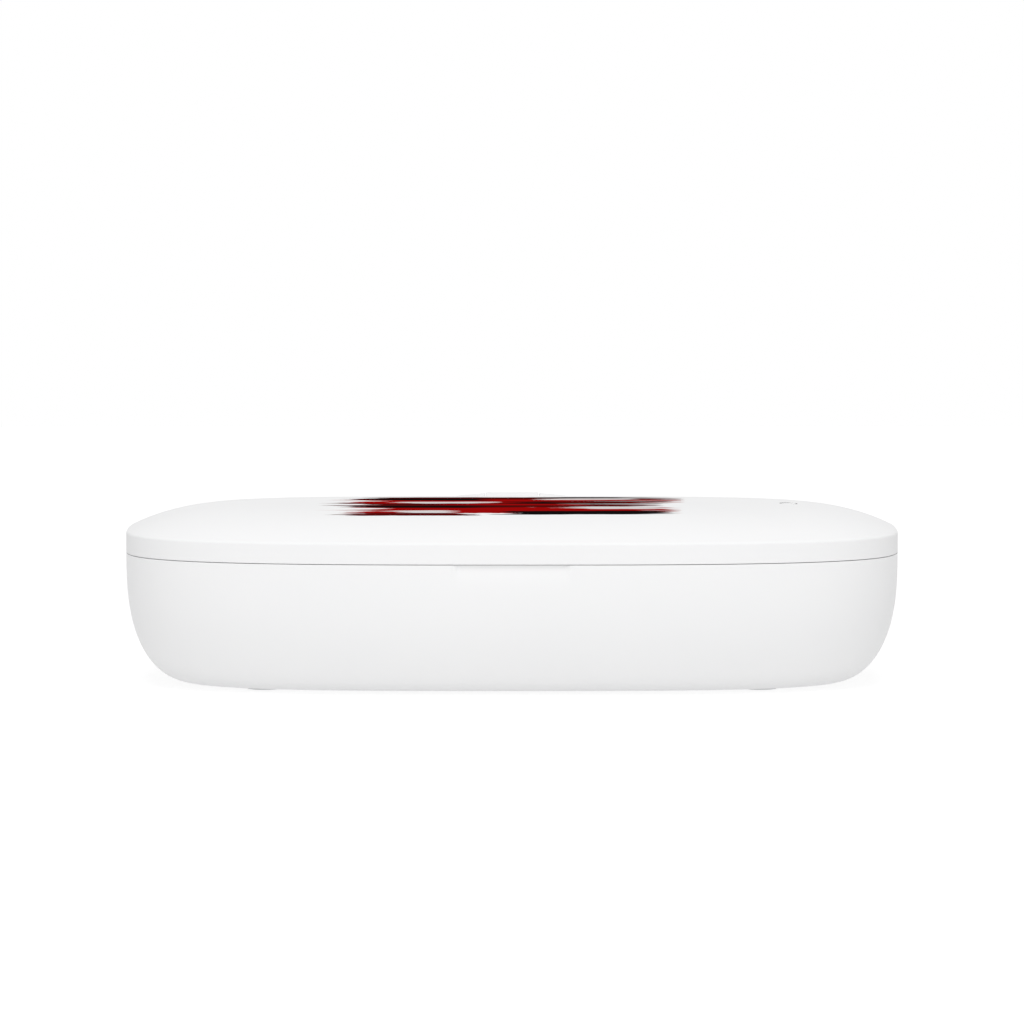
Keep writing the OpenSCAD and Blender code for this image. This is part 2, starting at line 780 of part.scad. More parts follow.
module base_wires() {
    wire_r = 0.5;
    board_edge = lamp_x - lamp_board_s / 2;
    lamp_board_mid = chamber_under_z - lamp_board_drop - board_t / 2;
    color("firebrick") centred() {
        for (s = [-1, 1]) cord([
            [s * (side_plug_x + plug_w / 2), 0, plug_z],
            [s * (side_plug_x + plug_w / 2 + 1.5), 0, plug_z],
            [s * (board_edge - 1.5), 0, lamp_board_mid],
            [s * board_edge, 0, lamp_board_mid]
        ], wire_r);
        cord([
            [-rear_plug_x, rear_plug_y + plug_w / 2, plug_z],
            [-rear_plug_x, rear_plug_y + 6, plug_z],
            [-rear_plug_x + 1, usb_board_back() - 6, 9],
            [-usb_board_w / 2 - 2.5, usb_board_back() - 3, usb_board_z + usb_board_t / 2],
            [-usb_board_w / 2, usb_board_back() - 3, usb_board_z + usb_board_t / 2]
        ], wire_r);
        cord([
            [sensor_plug_x, -rear_plug_y - plug_w / 2, plug_z],
            [sensor_plug_x, -rear_plug_y - 6, plug_z],
            [sensor_plug_x + 2, -chamber_b + 1, plug_z],
            [sensor_plug_x + 8, -chamber_b - 4, 11],
            [sensor_x - 4, sensor_y, 22],
            [sensor_x, sensor_y, tray_z - flange_t - 6],
            [sensor_x, sensor_y, tray_z - flange_t - sensor_t]
        ], wire_r);
    }
}

// ---- Lid ----

module lid_skin() {
    steps = 9;
    function share(k) = 1 - pow(1 - k / steps, 1.5);
    inner = [
        for (k = [steps : -1 : 0])
            let (inset = wall + (crown_w - wall) * share(k))
            ring(width / 2 - inset, depth / 2 - inset, outline_power,
                 edge_z + crown_rise(inset / crown_w) - wall, around)
    ];
    low = [
        ring(width / 2 - wall, depth / 2 - wall, outline_power, lid_z, around),
        ring(width / 2, depth / 2, outline_power, lid_z, around)
    ];
    outer = [
        for (k = [0 : steps])
            let (inset = crown_w * share(k))
            ring(width / 2 - inset, depth / 2 - inset, outline_power, edge_z + crown_rise(share(k)), around)
    ];
    skin(concat(inner, low, outer));
}

module lid_shell() {
    pocket_front = notch_y - pocket_t;
    pocket_back = depth / 2 - wall * 0.7;
    color("white") centred() difference() {
        union() {
            lid_skin();
            translate([-notch_x - pocket_t, 0, 0]) rotate([90, 0, 90])
                linear_extrude(2 * (notch_x + pocket_t))
                polygon([[pocket_front, liner_z], [pocket_back, liner_z],
                         [pocket_back, edge_z - 0.4],
                         [pocket_front, crown_z(0, pocket_front) - 0.8]]);
            knuckle();
            mirror([1, 0, 0]) knuckle();
            lid_screw_bosses();
        }
        translate([-notch_x, notch_y, lid_z - skip]) cube([2 * notch_x, through, through]);
        translate([-pin_end_x - fit, hinge_y, hinge_z]) rotate([0, 90, 0])
            cylinder(r = pin_r + fit / 2, h = 2 * (pin_end_x + fit));
        translate([0, hinge_y, hinge_z]) rotate([0, 90, 0])
            cylinder(r = cable_bore_r, h = cable_turn_x + cable_bore_r);
        translate([cable_turn_x, hinge_y, hinge_z]) rotate([90 + cable_dive, 0, 0])
            cylinder(r = cable_bore_r, h = knuckle_r + 3);
        translate([button_x, 0, liner_top_z]) cylinder(r = button_r + show_gap, h = through);
        lid_screw_places() translate([0, 0, liner_z])
            cylinder(r = lid_screw_r + fit / 2, h = lid_screw_l);
    }
}

module knuckle() {
    translate([knuckle_x, hinge_y, hinge_z]) rotate([0, 90, 0])
        cylinder(r = knuckle_r, h = knuckle_l);
    translate([knuckle_end, hinge_y, hinge_z]) rotate([0, 90, 0])
        cylinder(r1 = knuckle_r, r2 = knuckle_r * 0.7, h = taper_l);
}

module lid_screw_bosses() {
    start = liner_z + flange_t + fit;
    module boss(x, y) {
        translate([x, y, start]) cylinder(r = lid_boss_r, h = crown_z(x, y) - wall * 0.5 - start);
    }
    for (s = [-1, 1]) boss(s * lid_screw_end_x, 0);
    for (sx = [-1, 1], sy = [-1, 1]) boss(sx * lid_screw_x, sy * lid_screw_y);
}

module lid_liner() {
    outer_a = width / 2 - wall - slack;
    outer_b = depth / 2 - wall - slack;
    steps = 3;
    // Rings of the hollow, from its mouth to its ceiling, with the wall moved out by grow
    function hollow(mouth_at, ceiling_at, grow, radius) = concat(
        [ring(hollow_a + grow, hollow_b + grow, chamber_power, mouth_at, around_tray)],
        [for (k = [0 : steps])
            let (turn = 90 * k / steps, inset = 0.5 + radius * (1 - cos(turn)) - grow)
            ring(hollow_a - inset, hollow_b - inset, chamber_power,
                 ceiling_at - radius * (1 - sin(turn)), around_tray)]
    );
    inside = hollow(liner_z, ceiling_z, 0, hollow_corner);
    downwards = [for (k = [len(inside) - 1 : -1 : 0]) inside[k]];
    flange = [
        ring(outer_a, outer_b, outline_power, liner_z, around_tray),
        ring(outer_a, outer_b, outline_power, liner_z + flange_t, around_tray)
    ];
    above = hollow(liner_z + flange_t, liner_top_z, liner_t, hollow_corner + liner_t / 2);
    color("silver") centred() difference() {
        union() {
            skin(concat(downwards, flange, above));
            lid_lamp_places() translate([0, 0, liner_top_z - sink])
                cylinder(r = lamp_ring_r, h = lamp_board_drop + sink);
            both_sides(magnet_x) translate([0, magnet_y, liner_z + magnet_skin + sink])
                cylinder(r = magnet_boss_r, h = magnet_h - sink + magnet_lip);
        }
        lid_lamp_places() translate([0, 0, ceiling_z - skip])
            cylinder(r = window_r + fit, h = window_t + skip);
        lid_lamp_places() translate([0, 0, ceiling_z]) cylinder(r = lamp_hole_r, h = through);
        both_sides(magnet_x) translate([0, magnet_y, liner_z + magnet_skin])
            cylinder(r = magnet_r + fit, h = through);
        lid_screw_places() translate([0, 0, liner_z - skip])
            cylinder(r = lid_screw_r + 3 * fit, h = through);
        lid_screw_places() translate([0, 0, liner_z - 0.01])
            cylinder(r1 = csk_r + 2 * fit, r2 = lid_screw_r + 2 * fit, h = csk_h);
        translate([-notch_x - pocket_gap, notch_y - pocket_gap, liner_z - skip])
            cube([2 * (notch_x + pocket_gap), through, through]);
        translate([-knuckle_end - taper_l - soft_gap, hinge_y - knuckle_r - soft_gap, liner_z - skip])
            cube([2 * (knuckle_end + taper_l + soft_gap), through, through]);
    }
}

module lid_windows() {
    color("lightcyan") centred() lid_lamp_places() translate([0, 0, ceiling_z])
        cylinder(r = window_r, h = window_t);
}

module lid_leds() {
    color("gold") centred() lid_lamp_places()
        translate([0, 0, liner_top_z + lamp_board_drop]) mirror([0, 0, 1]) led();
}

module lid_led_boards() {
    color("white") centred() both_sides(lamp_x)
        board(lid_lamp_board_w, 2 * lid_lamp_y + lamp_board_s, board_t, liner_top_z + lamp_board_drop);
}

module charging_coil() {
    color("sienna") centred() translate([0, 0, coil_top_z - coil_t]) difference() {
        cylinder(r = coil_r, h = coil_t);
        translate([0, 0, -skip]) cylinder(r = coil_hole_r, h = through);
    }
}

module ferrite_sheet() {
    color("dimgray") centred() translate([0, 0, coil_top_z - coil_t - ferrite_t])
        cylinder(r = ferrite_r, h = ferrite_t);
}

module coil_carrier() {
    low = liner_top_z;
    top = coil_top_z - coil_t - ferrite_t;
    color("white") centred() difference() {
        translate([0, 0, low]) cylinder(r = carrier_r, h = top + carrier_rim - low);
        translate([0, 0, top]) cylinder(r = ferrite_r + fit, h = through);
        translate([0, 0, low - skip]) cylinder(r = coil_hole_r, h = through);
    }
}

module charging_board() {
    color("darkgreen") centred() translate([charger_x, 0, 0]) {
        board(charger_l, charger_w, thin_board_t, liner_top_z + board_lift);
        four_corners(charger_l / 2 - 2, charger_w / 2 - 2)
            translate([0, 0, liner_top_z]) cylinder(r = peg_r, h = board_lift + thin_board_t / 2);
    }
}

module charging_chips() {
    top = liner_top_z + board_lift + thin_board_t;
    color("dimgray") centred() translate([charger_x, 0, 0]) {
        translate([-2, -8, 0]) board(7, 7, 1, top);
        translate([4.5, 2, 0]) board(5, 5, 1, top);
        for (k = [0 : 3]) translate([-5, 1 + 2.6 * k, 0]) board(3, 1.6, 1, top);
    }
}

module button_board() {
    color("darkgreen") centred() translate([button_x, 0, 0]) {
        board(button_board_w, button_board_l, thin_board_t, liner_top_z + button_board_lift);
        four_corners(button_board_w / 2 - 1.5, button_board_l / 2 - 1.5)
            translate([0, 0, liner_top_z])
                cylinder(r = peg_r, h = button_board_lift + thin_board_t / 2);
    }
}

module tact_switch() {
    color("dimgray") centred() translate([button_x, 0, switch_top_z - switch_h]) difference() {
        board(switch_s, switch_s, switch_h, 0);
        translate([0, 0, switch_h - plunger_sink]) cylinder(r = plunger_r + fit, h = through);
    }
}

module status_led() {
    color("aqua") centred() translate([button_x, button_board_l / 2 - 2.4, 0])
        board(1.6, 0.8, 0.6, liner_top_z + button_board_lift + thin_board_t);
}

module lid_magnets() {
    color("silver") centred() both_sides(magnet_x)
        translate([0, magnet_y, liner_z + magnet_skin]) cylinder(r = magnet_r, h = magnet_h);
}

module lid_screws() {
    color("silver") centred() lid_screw_places() translate([0, 0, liner_z])
        flush_screw(lid_screw_r, lid_screw_l);
}

module hinge_pin() {
    color("silver") centred() translate([-pin_end_x, hinge_y, hinge_z]) rotate([0, 90, 0])
        cylinder(r = pin_r, h = pin_end_x - pin_inner_x);
}

module hinge_bush() {
    color("silver") centred() translate([pin_inner_x, hinge_y, hinge_z]) rotate([0, 90, 0])
        difference() {
            cylinder(r = pin_r, h = pin_end_x - pin_inner_x);
            translate([0, 0, -skip]) cylinder(r = cable_r + soft_gap, h = through);
        }
}

module lid_cable() {
    color("black") centred() cord([
        [pin_inner_x, hinge_y, hinge_z],
        [cable_turn_x - 1.3, hinge_y, hinge_z],
        [cable_turn_x - 0.2, hinge_y - 0.3, hinge_z - 0.3],
        [cable_turn_x, hinge_y - 1.2, hinge_z - 1.2],
        [cable_turn_x, hinge_y - 3.8, hinge_z - 3.8],
        [cable_turn_x - 2, hinge_y - 8, liner_top_z - 1.6],
        [10, hinge_y - 12, liner_top_z - 0.45],
        [-8, hinge_y - 17, liner_top_z + 0.75],
        [-24, hinge_y - 24, liner_top_z + 1.55],
        [charger_x + 2, charger_w / 2 + 5, liner_top_z + board_lift + 0.8],
        [charger_x + 2, charger_w / 2 + 2, liner_top_z + board_lift + 0.4],
        [charger_x + 2, charger_w / 2, liner_top_z + board_lift + 0.4]
    ], cable_r);
}

module lid_wires() {
    wire_r = 0.4;
    wire_z = liner_top_z + board_lift + 0.4;
    lamp_board_mid = liner_top_z + lamp_board_drop + board_t / 2;
    edge_x = lamp_x - lid_lamp_board_w / 2;
    outer_x = lamp_x + lid_lamp_board_w / 2;
    button_board_mid = liner_top_z + button_board_lift + thin_board_t / 2;
    color("firebrick") centred() {
        cord([
            [charger_x - charger_l / 2, 0, wire_z],
            [charger_x - charger_l / 2 - 0.8, 0, wire_z],
            [-edge_x + 0.8, 0, lamp_board_mid],
            [-edge_x, 0, lamp_board_mid]
        ], wire_r);
        cord([
            [charger_x + 6, -charger_w / 2, wire_z],
            [charger_x + 6, -charger_w / 2 - 3, wire_z],
            [-20, -carrier_r - 3, wire_z],
            [20, -carrier_r - 3, wire_z],
            [edge_x - 8, -14, wire_z + 0.4],
            [edge_x - 2, -10, lamp_board_mid],
            [edge_x, -10, lamp_board_mid]
        ], wire_r);
        cord([
            [outer_x, 4, lamp_board_mid],
            [outer_x + 0.7, 4, lamp_board_mid],
            [button_x - button_board_w / 2 - 0.7, 4, button_board_mid],
            [button_x - button_board_w / 2, 4, button_board_mid]
        ], wire_r);
    }
}

// ---- Button ----

module start_button() {
    color("white") centred() translate([button_x, 0, 0]) {
        translate([0, 0, button_flange_z]) cylinder(r = button_flange_r, h = button_flange_t);
        translate([0, 0, button_flange_z + button_flange_t - 0.2])
            cylinder(r = button_r, h = button_z + 0.05 - button_flange_z - button_flange_t + 0.2);
    }
}

module switch_plunger() {
    low = switch_top_z - plunger_sink + button_travel + press_gap;
    color("black") centred() translate([button_x, 0, low])
        cylinder(r = plunger_r, h = button_flange_z - low);
}

base_shell();
chamber_tray();
reflector_plate();
phone_rests();
floor_windows();
floor_leds();
floor_led_boards();
main_board();
controller_chip();
power_inductor();
capacitors();
board_connectors();
board_screws();
usb_board();
usb_c_port();
usb_c_tongue();
chamber_seal();
rim_bumpers();
base_magnets();
hall_sensor();
rubber_feet();
base_screws();
hinge_bracket();
hinge_bracket_screws();
base_cable();
base_wires();
lid_shell();
lid_liner();
lid_windows();
lid_leds();
lid_led_boards();
charging_coil();
ferrite_sheet();
coil_carrier();
charging_board();
charging_chips();
button_board();
tact_switch();
status_led();
lid_magnets();
lid_screws();
hinge_pin();
hinge_bush();
lid_cable();
lid_wires();
start_button();
switch_plunger();
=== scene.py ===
import math

import bmesh
import bpy
import numpy as np
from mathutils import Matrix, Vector


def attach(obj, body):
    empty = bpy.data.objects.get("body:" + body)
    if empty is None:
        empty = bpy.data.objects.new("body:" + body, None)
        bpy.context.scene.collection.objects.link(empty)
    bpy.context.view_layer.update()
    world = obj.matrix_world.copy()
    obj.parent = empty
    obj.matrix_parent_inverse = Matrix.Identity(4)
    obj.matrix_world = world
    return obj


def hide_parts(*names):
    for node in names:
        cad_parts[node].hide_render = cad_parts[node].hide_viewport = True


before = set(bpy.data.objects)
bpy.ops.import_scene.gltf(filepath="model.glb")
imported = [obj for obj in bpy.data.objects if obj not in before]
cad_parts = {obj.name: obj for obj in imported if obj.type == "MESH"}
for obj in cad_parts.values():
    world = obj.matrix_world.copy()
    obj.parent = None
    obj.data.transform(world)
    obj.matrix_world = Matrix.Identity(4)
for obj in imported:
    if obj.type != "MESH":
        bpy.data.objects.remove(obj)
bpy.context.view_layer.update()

# A phone sanitizer box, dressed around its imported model.
# Shapes are worked out in millimetres from the middle of the case, with the hinge towards +Y.
# toFrame() turns them into metres in the model's own place.
case = {
    "halfWidth": 110.0, "halfDepth": 60.5, "power": 3.14, "wall": 2.2, "centreY": 1.85, "columnStep": 1.5,
    "shellZ": 0.6, "floorZ": 2.8, "rimZ": 37.415, "lidZ": 37.585, "edgeZ": 43.4, "lipEdge": 0.14,
    "trayZ": 36.75, "linerZ": 38.25, "flange": 1.6, "foot": (70.0, 28.0), "magnet": (40.0, -52.5),
}
sides = (-1, 1)


# ---- shape tools ----

def toFrame(points):
    return (np.asarray(points, float) - [0, case["centreY"], 0]) * 0.001


# The four places at plus and minus x and y
def fourPlaces(x, y):
    return [(sx * x, sy * y) for sx in sides for sy in sides]


# Length along a path at each of its points, by adding up the chords
def lengthAlong(points):
    return np.concatenate([[0], np.cumsum(np.linalg.norm(np.diff(points, axis=0), axis=1))])


# Unit rounded outline: x = sign(cos t) |cos t|^(2/p), y = sign(sin t) |sin t|^(2/p)
def unitOutline(turns, power):
    c, s = np.cos(turns), np.sin(turns)
    power = np.asarray(power, float)[..., None]
    return np.stack([np.sign(c) * np.abs(c) ** (2 / power), np.sign(s) * np.abs(s) ** (2 / power)], -1)


# Half depth of a rounded outline at x: y = b (1 - (|x|/a)^p)^(1/p)
def outlineY(x, a, b, power):
    return b * (1 - (np.abs(x) / a) ** power) ** (1 / power)


# Turns whose points lie evenly along an outline, read off a dense one
def evenTurns(a, b, power, step):
    dense = np.linspace(0, 2 * np.pi, 20001)
    along = lengthAlong(unitOutline(dense, power) * [a, b])
    count = 4 * int(round(along[-1] / step / 4))
    return np.interp(np.arange(count) * along[-1] / count, along, dense)


def caseTurns():
    return evenTurns(case["halfWidth"], case["halfDepth"], case["power"], case["columnStep"])


# Surface through rings: each row is [a, b, power, z], and its ring is (a, b) times the unit outline
def ringSurface(rows, turns):
    rows = np.asarray(rows, float)
    xy = unitOutline(turns, rows[:, 2]) * rows[:, None, :2]
    z = np.broadcast_to(rows[:, None, 3:4], xy.shape[:2] + (1,))
    return np.concatenate([xy, z], -1)


# Rings of an outline with half lengths (a, b) from a path of (distance out from it, height)
def ringsOf(size, power, path):
    return [[size[0] + out, size[1] + out, power, z] for out, z in path]


# Rings of the case's own outline from a path of (distance in from the edge, height)
def caseRings(path):
    return ringsOf((case["halfWidth"], case["halfDepth"]), case["power"], np.asarray(path, float) * [-1, 1])


# Parabola from start to end that leaves and arrives along the sides of the corner:
# (1-t)^2 start + 2t(1-t) corner + t^2 end
def softCorner(start, corner, end, steps=5):
    t = np.linspace(0, 1, steps + 1)[:, None]
    start, corner, end = (np.asarray(p, float) for p in (start, corner, end))
    return (1 - t) ** 2 * start + 2 * t * (1 - t) * corner + t ** 2 * end


# Points at even distances along a path, whose ends stay
def evenly(path, step):
    along = lengthAlong(path)
    at = np.linspace(0, along[-1], max(2, int(round(along[-1] / step)) + 1))
    return np.stack([np.interp(at, along, path[:, k]) for k in range(path.shape[1])], -1)


# Body of revolution about a vertical line: (x0 + r cos t, y0 + r sin t, z) along a path of (r, z)
def turned(path, centre, count=48):
    path = np.asarray(path, float)
    t = np.arange(count) * 2 * np.pi / count
    r = path[:, :1]
    return np.stack([centre[0] + r * np.cos(t), centre[1] + r * np.sin(t),
                     np.broadcast_to(path[:, 1:2], (len(path), count))], -1)


# Solid that is turned from a path whose first and last points are put on the axis
def turnedSolid(path, centre, count=32):
    return turned([(0, path[0][1])] + list(path) + [(0, path[-1][1])], centre, count)


# Upright cylinder with its ends at two heights
def drum(radius, low, high, centre=(0, 0), count=32):
    return turnedSolid([(radius, low), (radius, high)], centre, count)


# Outward unit normals of a closed outline, square to the way from the point before to the point after
def outlineNormals(outline):
    ahead = np.roll(outline, -1, 0)
    way = ahead - np.roll(outline, 1, 0)
    way /= np.maximum(np.linalg.norm(way, axis=1, keepdims=True), 1e-9)
    area = np.sum(outline[:, 0] * ahead[:, 1] - ahead[:, 0] * outline[:, 1])
    return np.stack([way[:, 1], -way[:, 0]], -1) * np.sign(area)


# A flat closed outline (u, v) carried along an axis through stations of (position, growth),
# where growth moves each point along the outline's own normal
def carried(outline, stations, axis):
    outline = np.asarray(outline, float)
    stations = np.asarray(stations, float)
    uv = outline[None] + stations[:, None, 1:2] * outlineNormals(outline)[None]
    at = np.broadcast_to(stations[:, None, :1], uv.shape[:2] + (1,))
    order = {"x": [2, 0, 1], "y": [0, 2, 1], "z": [0, 1, 2]}[axis]
    return np.concatenate([uv, at], -1)[..., order]


# Rounded rectangle between two x and two y: every corner becomes a parabola cut from its sides
def roundedBox(x, y, cut, steps=5):
    corners = np.array([(x[0], y[0]), (x[1], y[0]), (x[1], y[1]), (x[0], y[1])], float)
    parts = []
    for before, corner, after in zip(np.roll(corners, 1, 0), corners, np.roll(corners, -1, 0)):
        first = corner + (before - corner) / np.linalg.norm(before - corner) * cut
        last = corner + (after - corner) / np.linalg.norm(after - corner) * cut
        parts.append(softCorner(first, corner, last, steps))
    return np.concatenate(parts)


def boxGrid(x, y, z, cut):
    return carried(roundedBox(x, y, cut, 4), [(z[0], 0), (z[1], 0)], "z")


# One mesh from grids of points, each closed round its columns. Each end row is closed with one face,
# unless it is a single point, and closedRows joins the last row to the first one instead.
# The sum of a . (b x c) over the faces is negative where they face inwards, and turns them round.
def meshOf(name, grids, closedRows=False):
    allPoints, quads, ends, start = [], [], [], 0
    for grid in grids:
        rows, cols = grid.shape[:2]
        flat = toFrame(grid.reshape(-1, 3))
        r = np.arange(rows if closedRows else rows - 1)[:, None]
        c = np.arange(cols)[None, :]
        nextRow, nextCol = (r + 1) % rows, (c + 1) % cols
        block = np.stack([r * cols + c, r * cols + nextCol, nextRow * cols + nextCol, nextRow * cols + c], -1)
        block = block.reshape(-1, 4)
        caps = []
        if not closedRows:
            caps = [side for side in (np.arange(cols)[::-1], (rows - 1) * cols + np.arange(cols))
                    if np.ptp(flat[side], axis=0).max() > 1e-6]
        a, b, c3, d = (flat[block[:, k]] for k in range(4))
        volume = np.sum(np.cross(a, b) * c3) + np.sum(np.cross(a, c3) * d)
        for cap in caps:
            volume += np.sum(np.cross(flat[cap], flat[np.roll(cap, -1)]) * flat[cap].mean(0))
        if volume < 0:
            block, caps = block[:, ::-1], [cap[::-1] for cap in caps]
        allPoints.append(flat)
        quads.append(block + start)
        ends += [cap + start for cap in caps]
        start += len(flat)
    points, quads = np.concatenate(allPoints), np.concatenate(quads)
    corners = np.concatenate([quads.ravel()] + ends)
    sizes = np.concatenate([np.full(len(quads), 4), [len(cap) for cap in ends]]).astype(int)
    mesh = bpy.data.meshes.new(name)
    mesh.vertices.add(len(points))
    mesh.vertices.foreach_set("co", points.astype(np.float32).ravel())
    mesh.loops.add(len(corners))
    mesh.loops.foreach_set("vertex_index", corners.astype(np.int32))
    mesh.polygons.add(len(sizes))
    mesh.polygons.foreach_set("loop_start", (np.cumsum(sizes) - sizes).astype(np.int32))
    mesh.update(calc_edges=True)
    work = bmesh.new()
    work.from_mesh(mesh)
    bmesh.ops.remove_doubles(work, verts=work.verts, dist=1e-7)
    bmesh.ops.dissolve_degenerate(work, edges=work.edges, dist=1e-8)
    work.to_mesh(mesh)
    work.free()
    mesh.validate()
    return mesh


def addObject(name, mesh):
    piece = bpy.data.objects.new(name, mesh)
    bpy.context.scene.collection.objects.link(piece)
    return piece


def makePiece(name, grids, closedRows=False):
    return addObject(name, meshOf(name, grids, closedRows))


# Gives a piece the mesh that one modifier makes of it
def applyChange(piece, kind, **settings):
    change = piece.modifiers.new("change", kind)
    for key, value in settings.items():
        setattr(change, key, value)
    bpy.context.view_layer.update()
    shaped = piece.evaluated_get(bpy.context.evaluated_depsgraph_get())
    mesh = bpy.data.meshes.new_from_object(shaped)
    piece.modifiers.clear()
    piece.data = mesh


# Takes bodies, given as grids, from a piece or joins them to it, one after another
def carve(piece, grids, operation="DIFFERENCE"):
    for grid in grids:
        tool = makePiece("tool", [grid])
        applyChange(piece, "BOOLEAN", operation=operation, solver="EXACT", object=tool)
        bpy.data.objects.remove(tool)


# Gives a mesh its finish and smooth faces, with sharp edges past an angle
def dress(mesh, finish, sharp):
    mesh.materials.clear()
    mesh.materials.append(finishes[finish])
    mesh.polygons.foreach_set("use_smooth", np.ones(len(mesh.polygons), bool))
    mesh.set_sharp_from_angle(angle=math.radians(sharp))


# Hands a finished piece over with its finish, normals that lean to the larger faces, its body, its slot and
# the node it stands for
def handOver(piece, finish, body, node):
    dress(piece.data, finish, 38)
    applyChange(piece, "WEIGHTED_NORMAL", keep_sharp=True, weight=50)
    piece.data.name = piece.name
    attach(piece, body)
    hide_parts(node)


# ---- finishes ----

# A shader group with number outputs, whose inputs take their kinds from their values
def newGroup(name, inputs, outputs):
    group = bpy.data.node_groups.new(name, "ShaderNodeTree")
    for label, value in inputs.items():
        kind = "NodeSocketFloat" if isinstance(value, float) else "NodeSocketVector"
        socket = group.interface.new_socket(label, in_out="INPUT", socket_type=kind)
        if value is not None:
            socket.default_value = value
    for label in outputs:
        group.interface.new_socket(label, in_out="OUTPUT", socket_type="NodeSocketFloat")
    return group, group.nodes.new("NodeGroupInput").outputs


def giveOut(group, **results):
    target = group.nodes.new("NodeGroupOutput")
    for label, value in results.items():
        group.links.new(value, target.inputs[label])
    return group


# Links a socket to another one, or gives it a value
def fill(tree, socket, value):
    if isinstance(value, bpy.types.NodeSocket):
        tree.links.new(value, socket)
    else:
        socket.default_value = value


# A node with its settings and inputs. An input is named by its label, or by _ and its number.
def addNode(tree, kind, settings=None, **values):
    node = tree.nodes.new(kind)
    for key, value in (settings or {}).items():
        setattr(node, key, value)
    for key, value in values.items():
        fill(tree, node.inputs[int(key[1:])] if key[0] == "_" else node.inputs[key], value)
    return node


def mathNode(tree, operation, *values, clamp=False):
    inputs = {f"_{number}": value for number, value in enumerate(values)}
    return addNode(tree, "ShaderNodeMath", {"operation": operation, "use_clamp": clamp}, **inputs).outputs[0]


def mixColour(tree, share, first, second):
    return addNode(tree, "ShaderNodeMix", {"data_type": "RGBA"}, _0=share, _6=first, _7=second).outputs[2]


# A value carried from one range to another, and eased at both ends of it if it is smooth
def mapRange(tree, value, low, high, toLow=0.0, toHigh=1.0, smooth=False):
    settings = {"interpolation_type": "SMOOTHSTEP" if smooth else "LINEAR"}
    return addNode(tree, "ShaderNodeMapRange", settings, _0=value, _1=low, _2=high, _3=toLow, _4=toHigh).outputs[0]


def noise(tree, place, scale=1.0, detail=2.0, roughness=0.5, settings=None):
    return addNode(tree, "ShaderNodeTexNoise", settings, Vector=place, Scale=scale, Detail=detail,
                   Roughness=roughness).outputs[0]


def combine(tree, x, y, z=0.0):
    return addNode(tree, "ShaderNodeCombineXYZ", X=x, Y=y, Z=z).outputs[0]


# Fine grain of a moulded or cast surface: a broad cloud for tone, a fine one for height,
# and a roughness between two values that follows both
def makeGrainGroup():
    inputs = {"Vector": None, "Fine": 2600.0, "Broad": 40.0, "Low": 0.3, "High": 0.4}
    group, given = newGroup("surfaceGrain", inputs, ("Tone", "Roughness", "Height"))
    broad = noise(group, given["Vector"], given["Broad"], 3.0, 0.55)
    fine = noise(group, given["Vector"], given["Fine"], 2.0, 0.6)
    both = mathNode(group, "MULTIPLY_ADD", fine, 0.4, mathNode(group, "MULTIPLY", broad, 0.6))
    spread = mapRange(group, both, 0.3, 0.7, given["Low"], given["High"])
    return giveOut(group, Tone=mapRange(group, broad, 0.3, 0.7), Roughness=spread, Height=fine)


# Rolled or turned metal: noise drawn out along one axis by scaling the other two
def makeRolledGroup():
    inputs = {"Vector": None, "Stretch": (40.0, 3000.0, 3000.0), "Low": 0.1, "High": 0.25}
    group, given = newGroup("rolledMetal", inputs, ("Tone", "Roughness", "Height"))
    drawn = addNode(group, "ShaderNodeVectorMath", {"operation": "MULTIPLY"},
                    _0=given["Vector"], _1=given["Stretch"]).outputs[0]
    lines = noise(group, drawn, detail=4.0)
    spread = mapRange(group, lines, 0.35, 0.65, given["Low"], given["High"])
    return giveOut(group, Tone=noise(group, given["Vector"], 60.0), Roughness=spread, Height=lines)


# Brush band: strands and clumps give how often the paint breaks along and across it (1/m), mix is the strands'
# share, wobble moves its edges, reach its ends (m), and dry grows by the square of the way along
band = {
    "strands": (22.0, 1500.0), "clumps": (16.0, 190.0), "mix": 0.4, "wobble": 90.0, "wobbleShare": 0.4,
    "edgeShare": 0.5, "edgeFrom": 0.94, "reach": 0.07, "endSoft": 0.0008, "dryGrowth": 0.42, "dryStart": 0.3,
    "paint": (-0.01, 0.02),
}


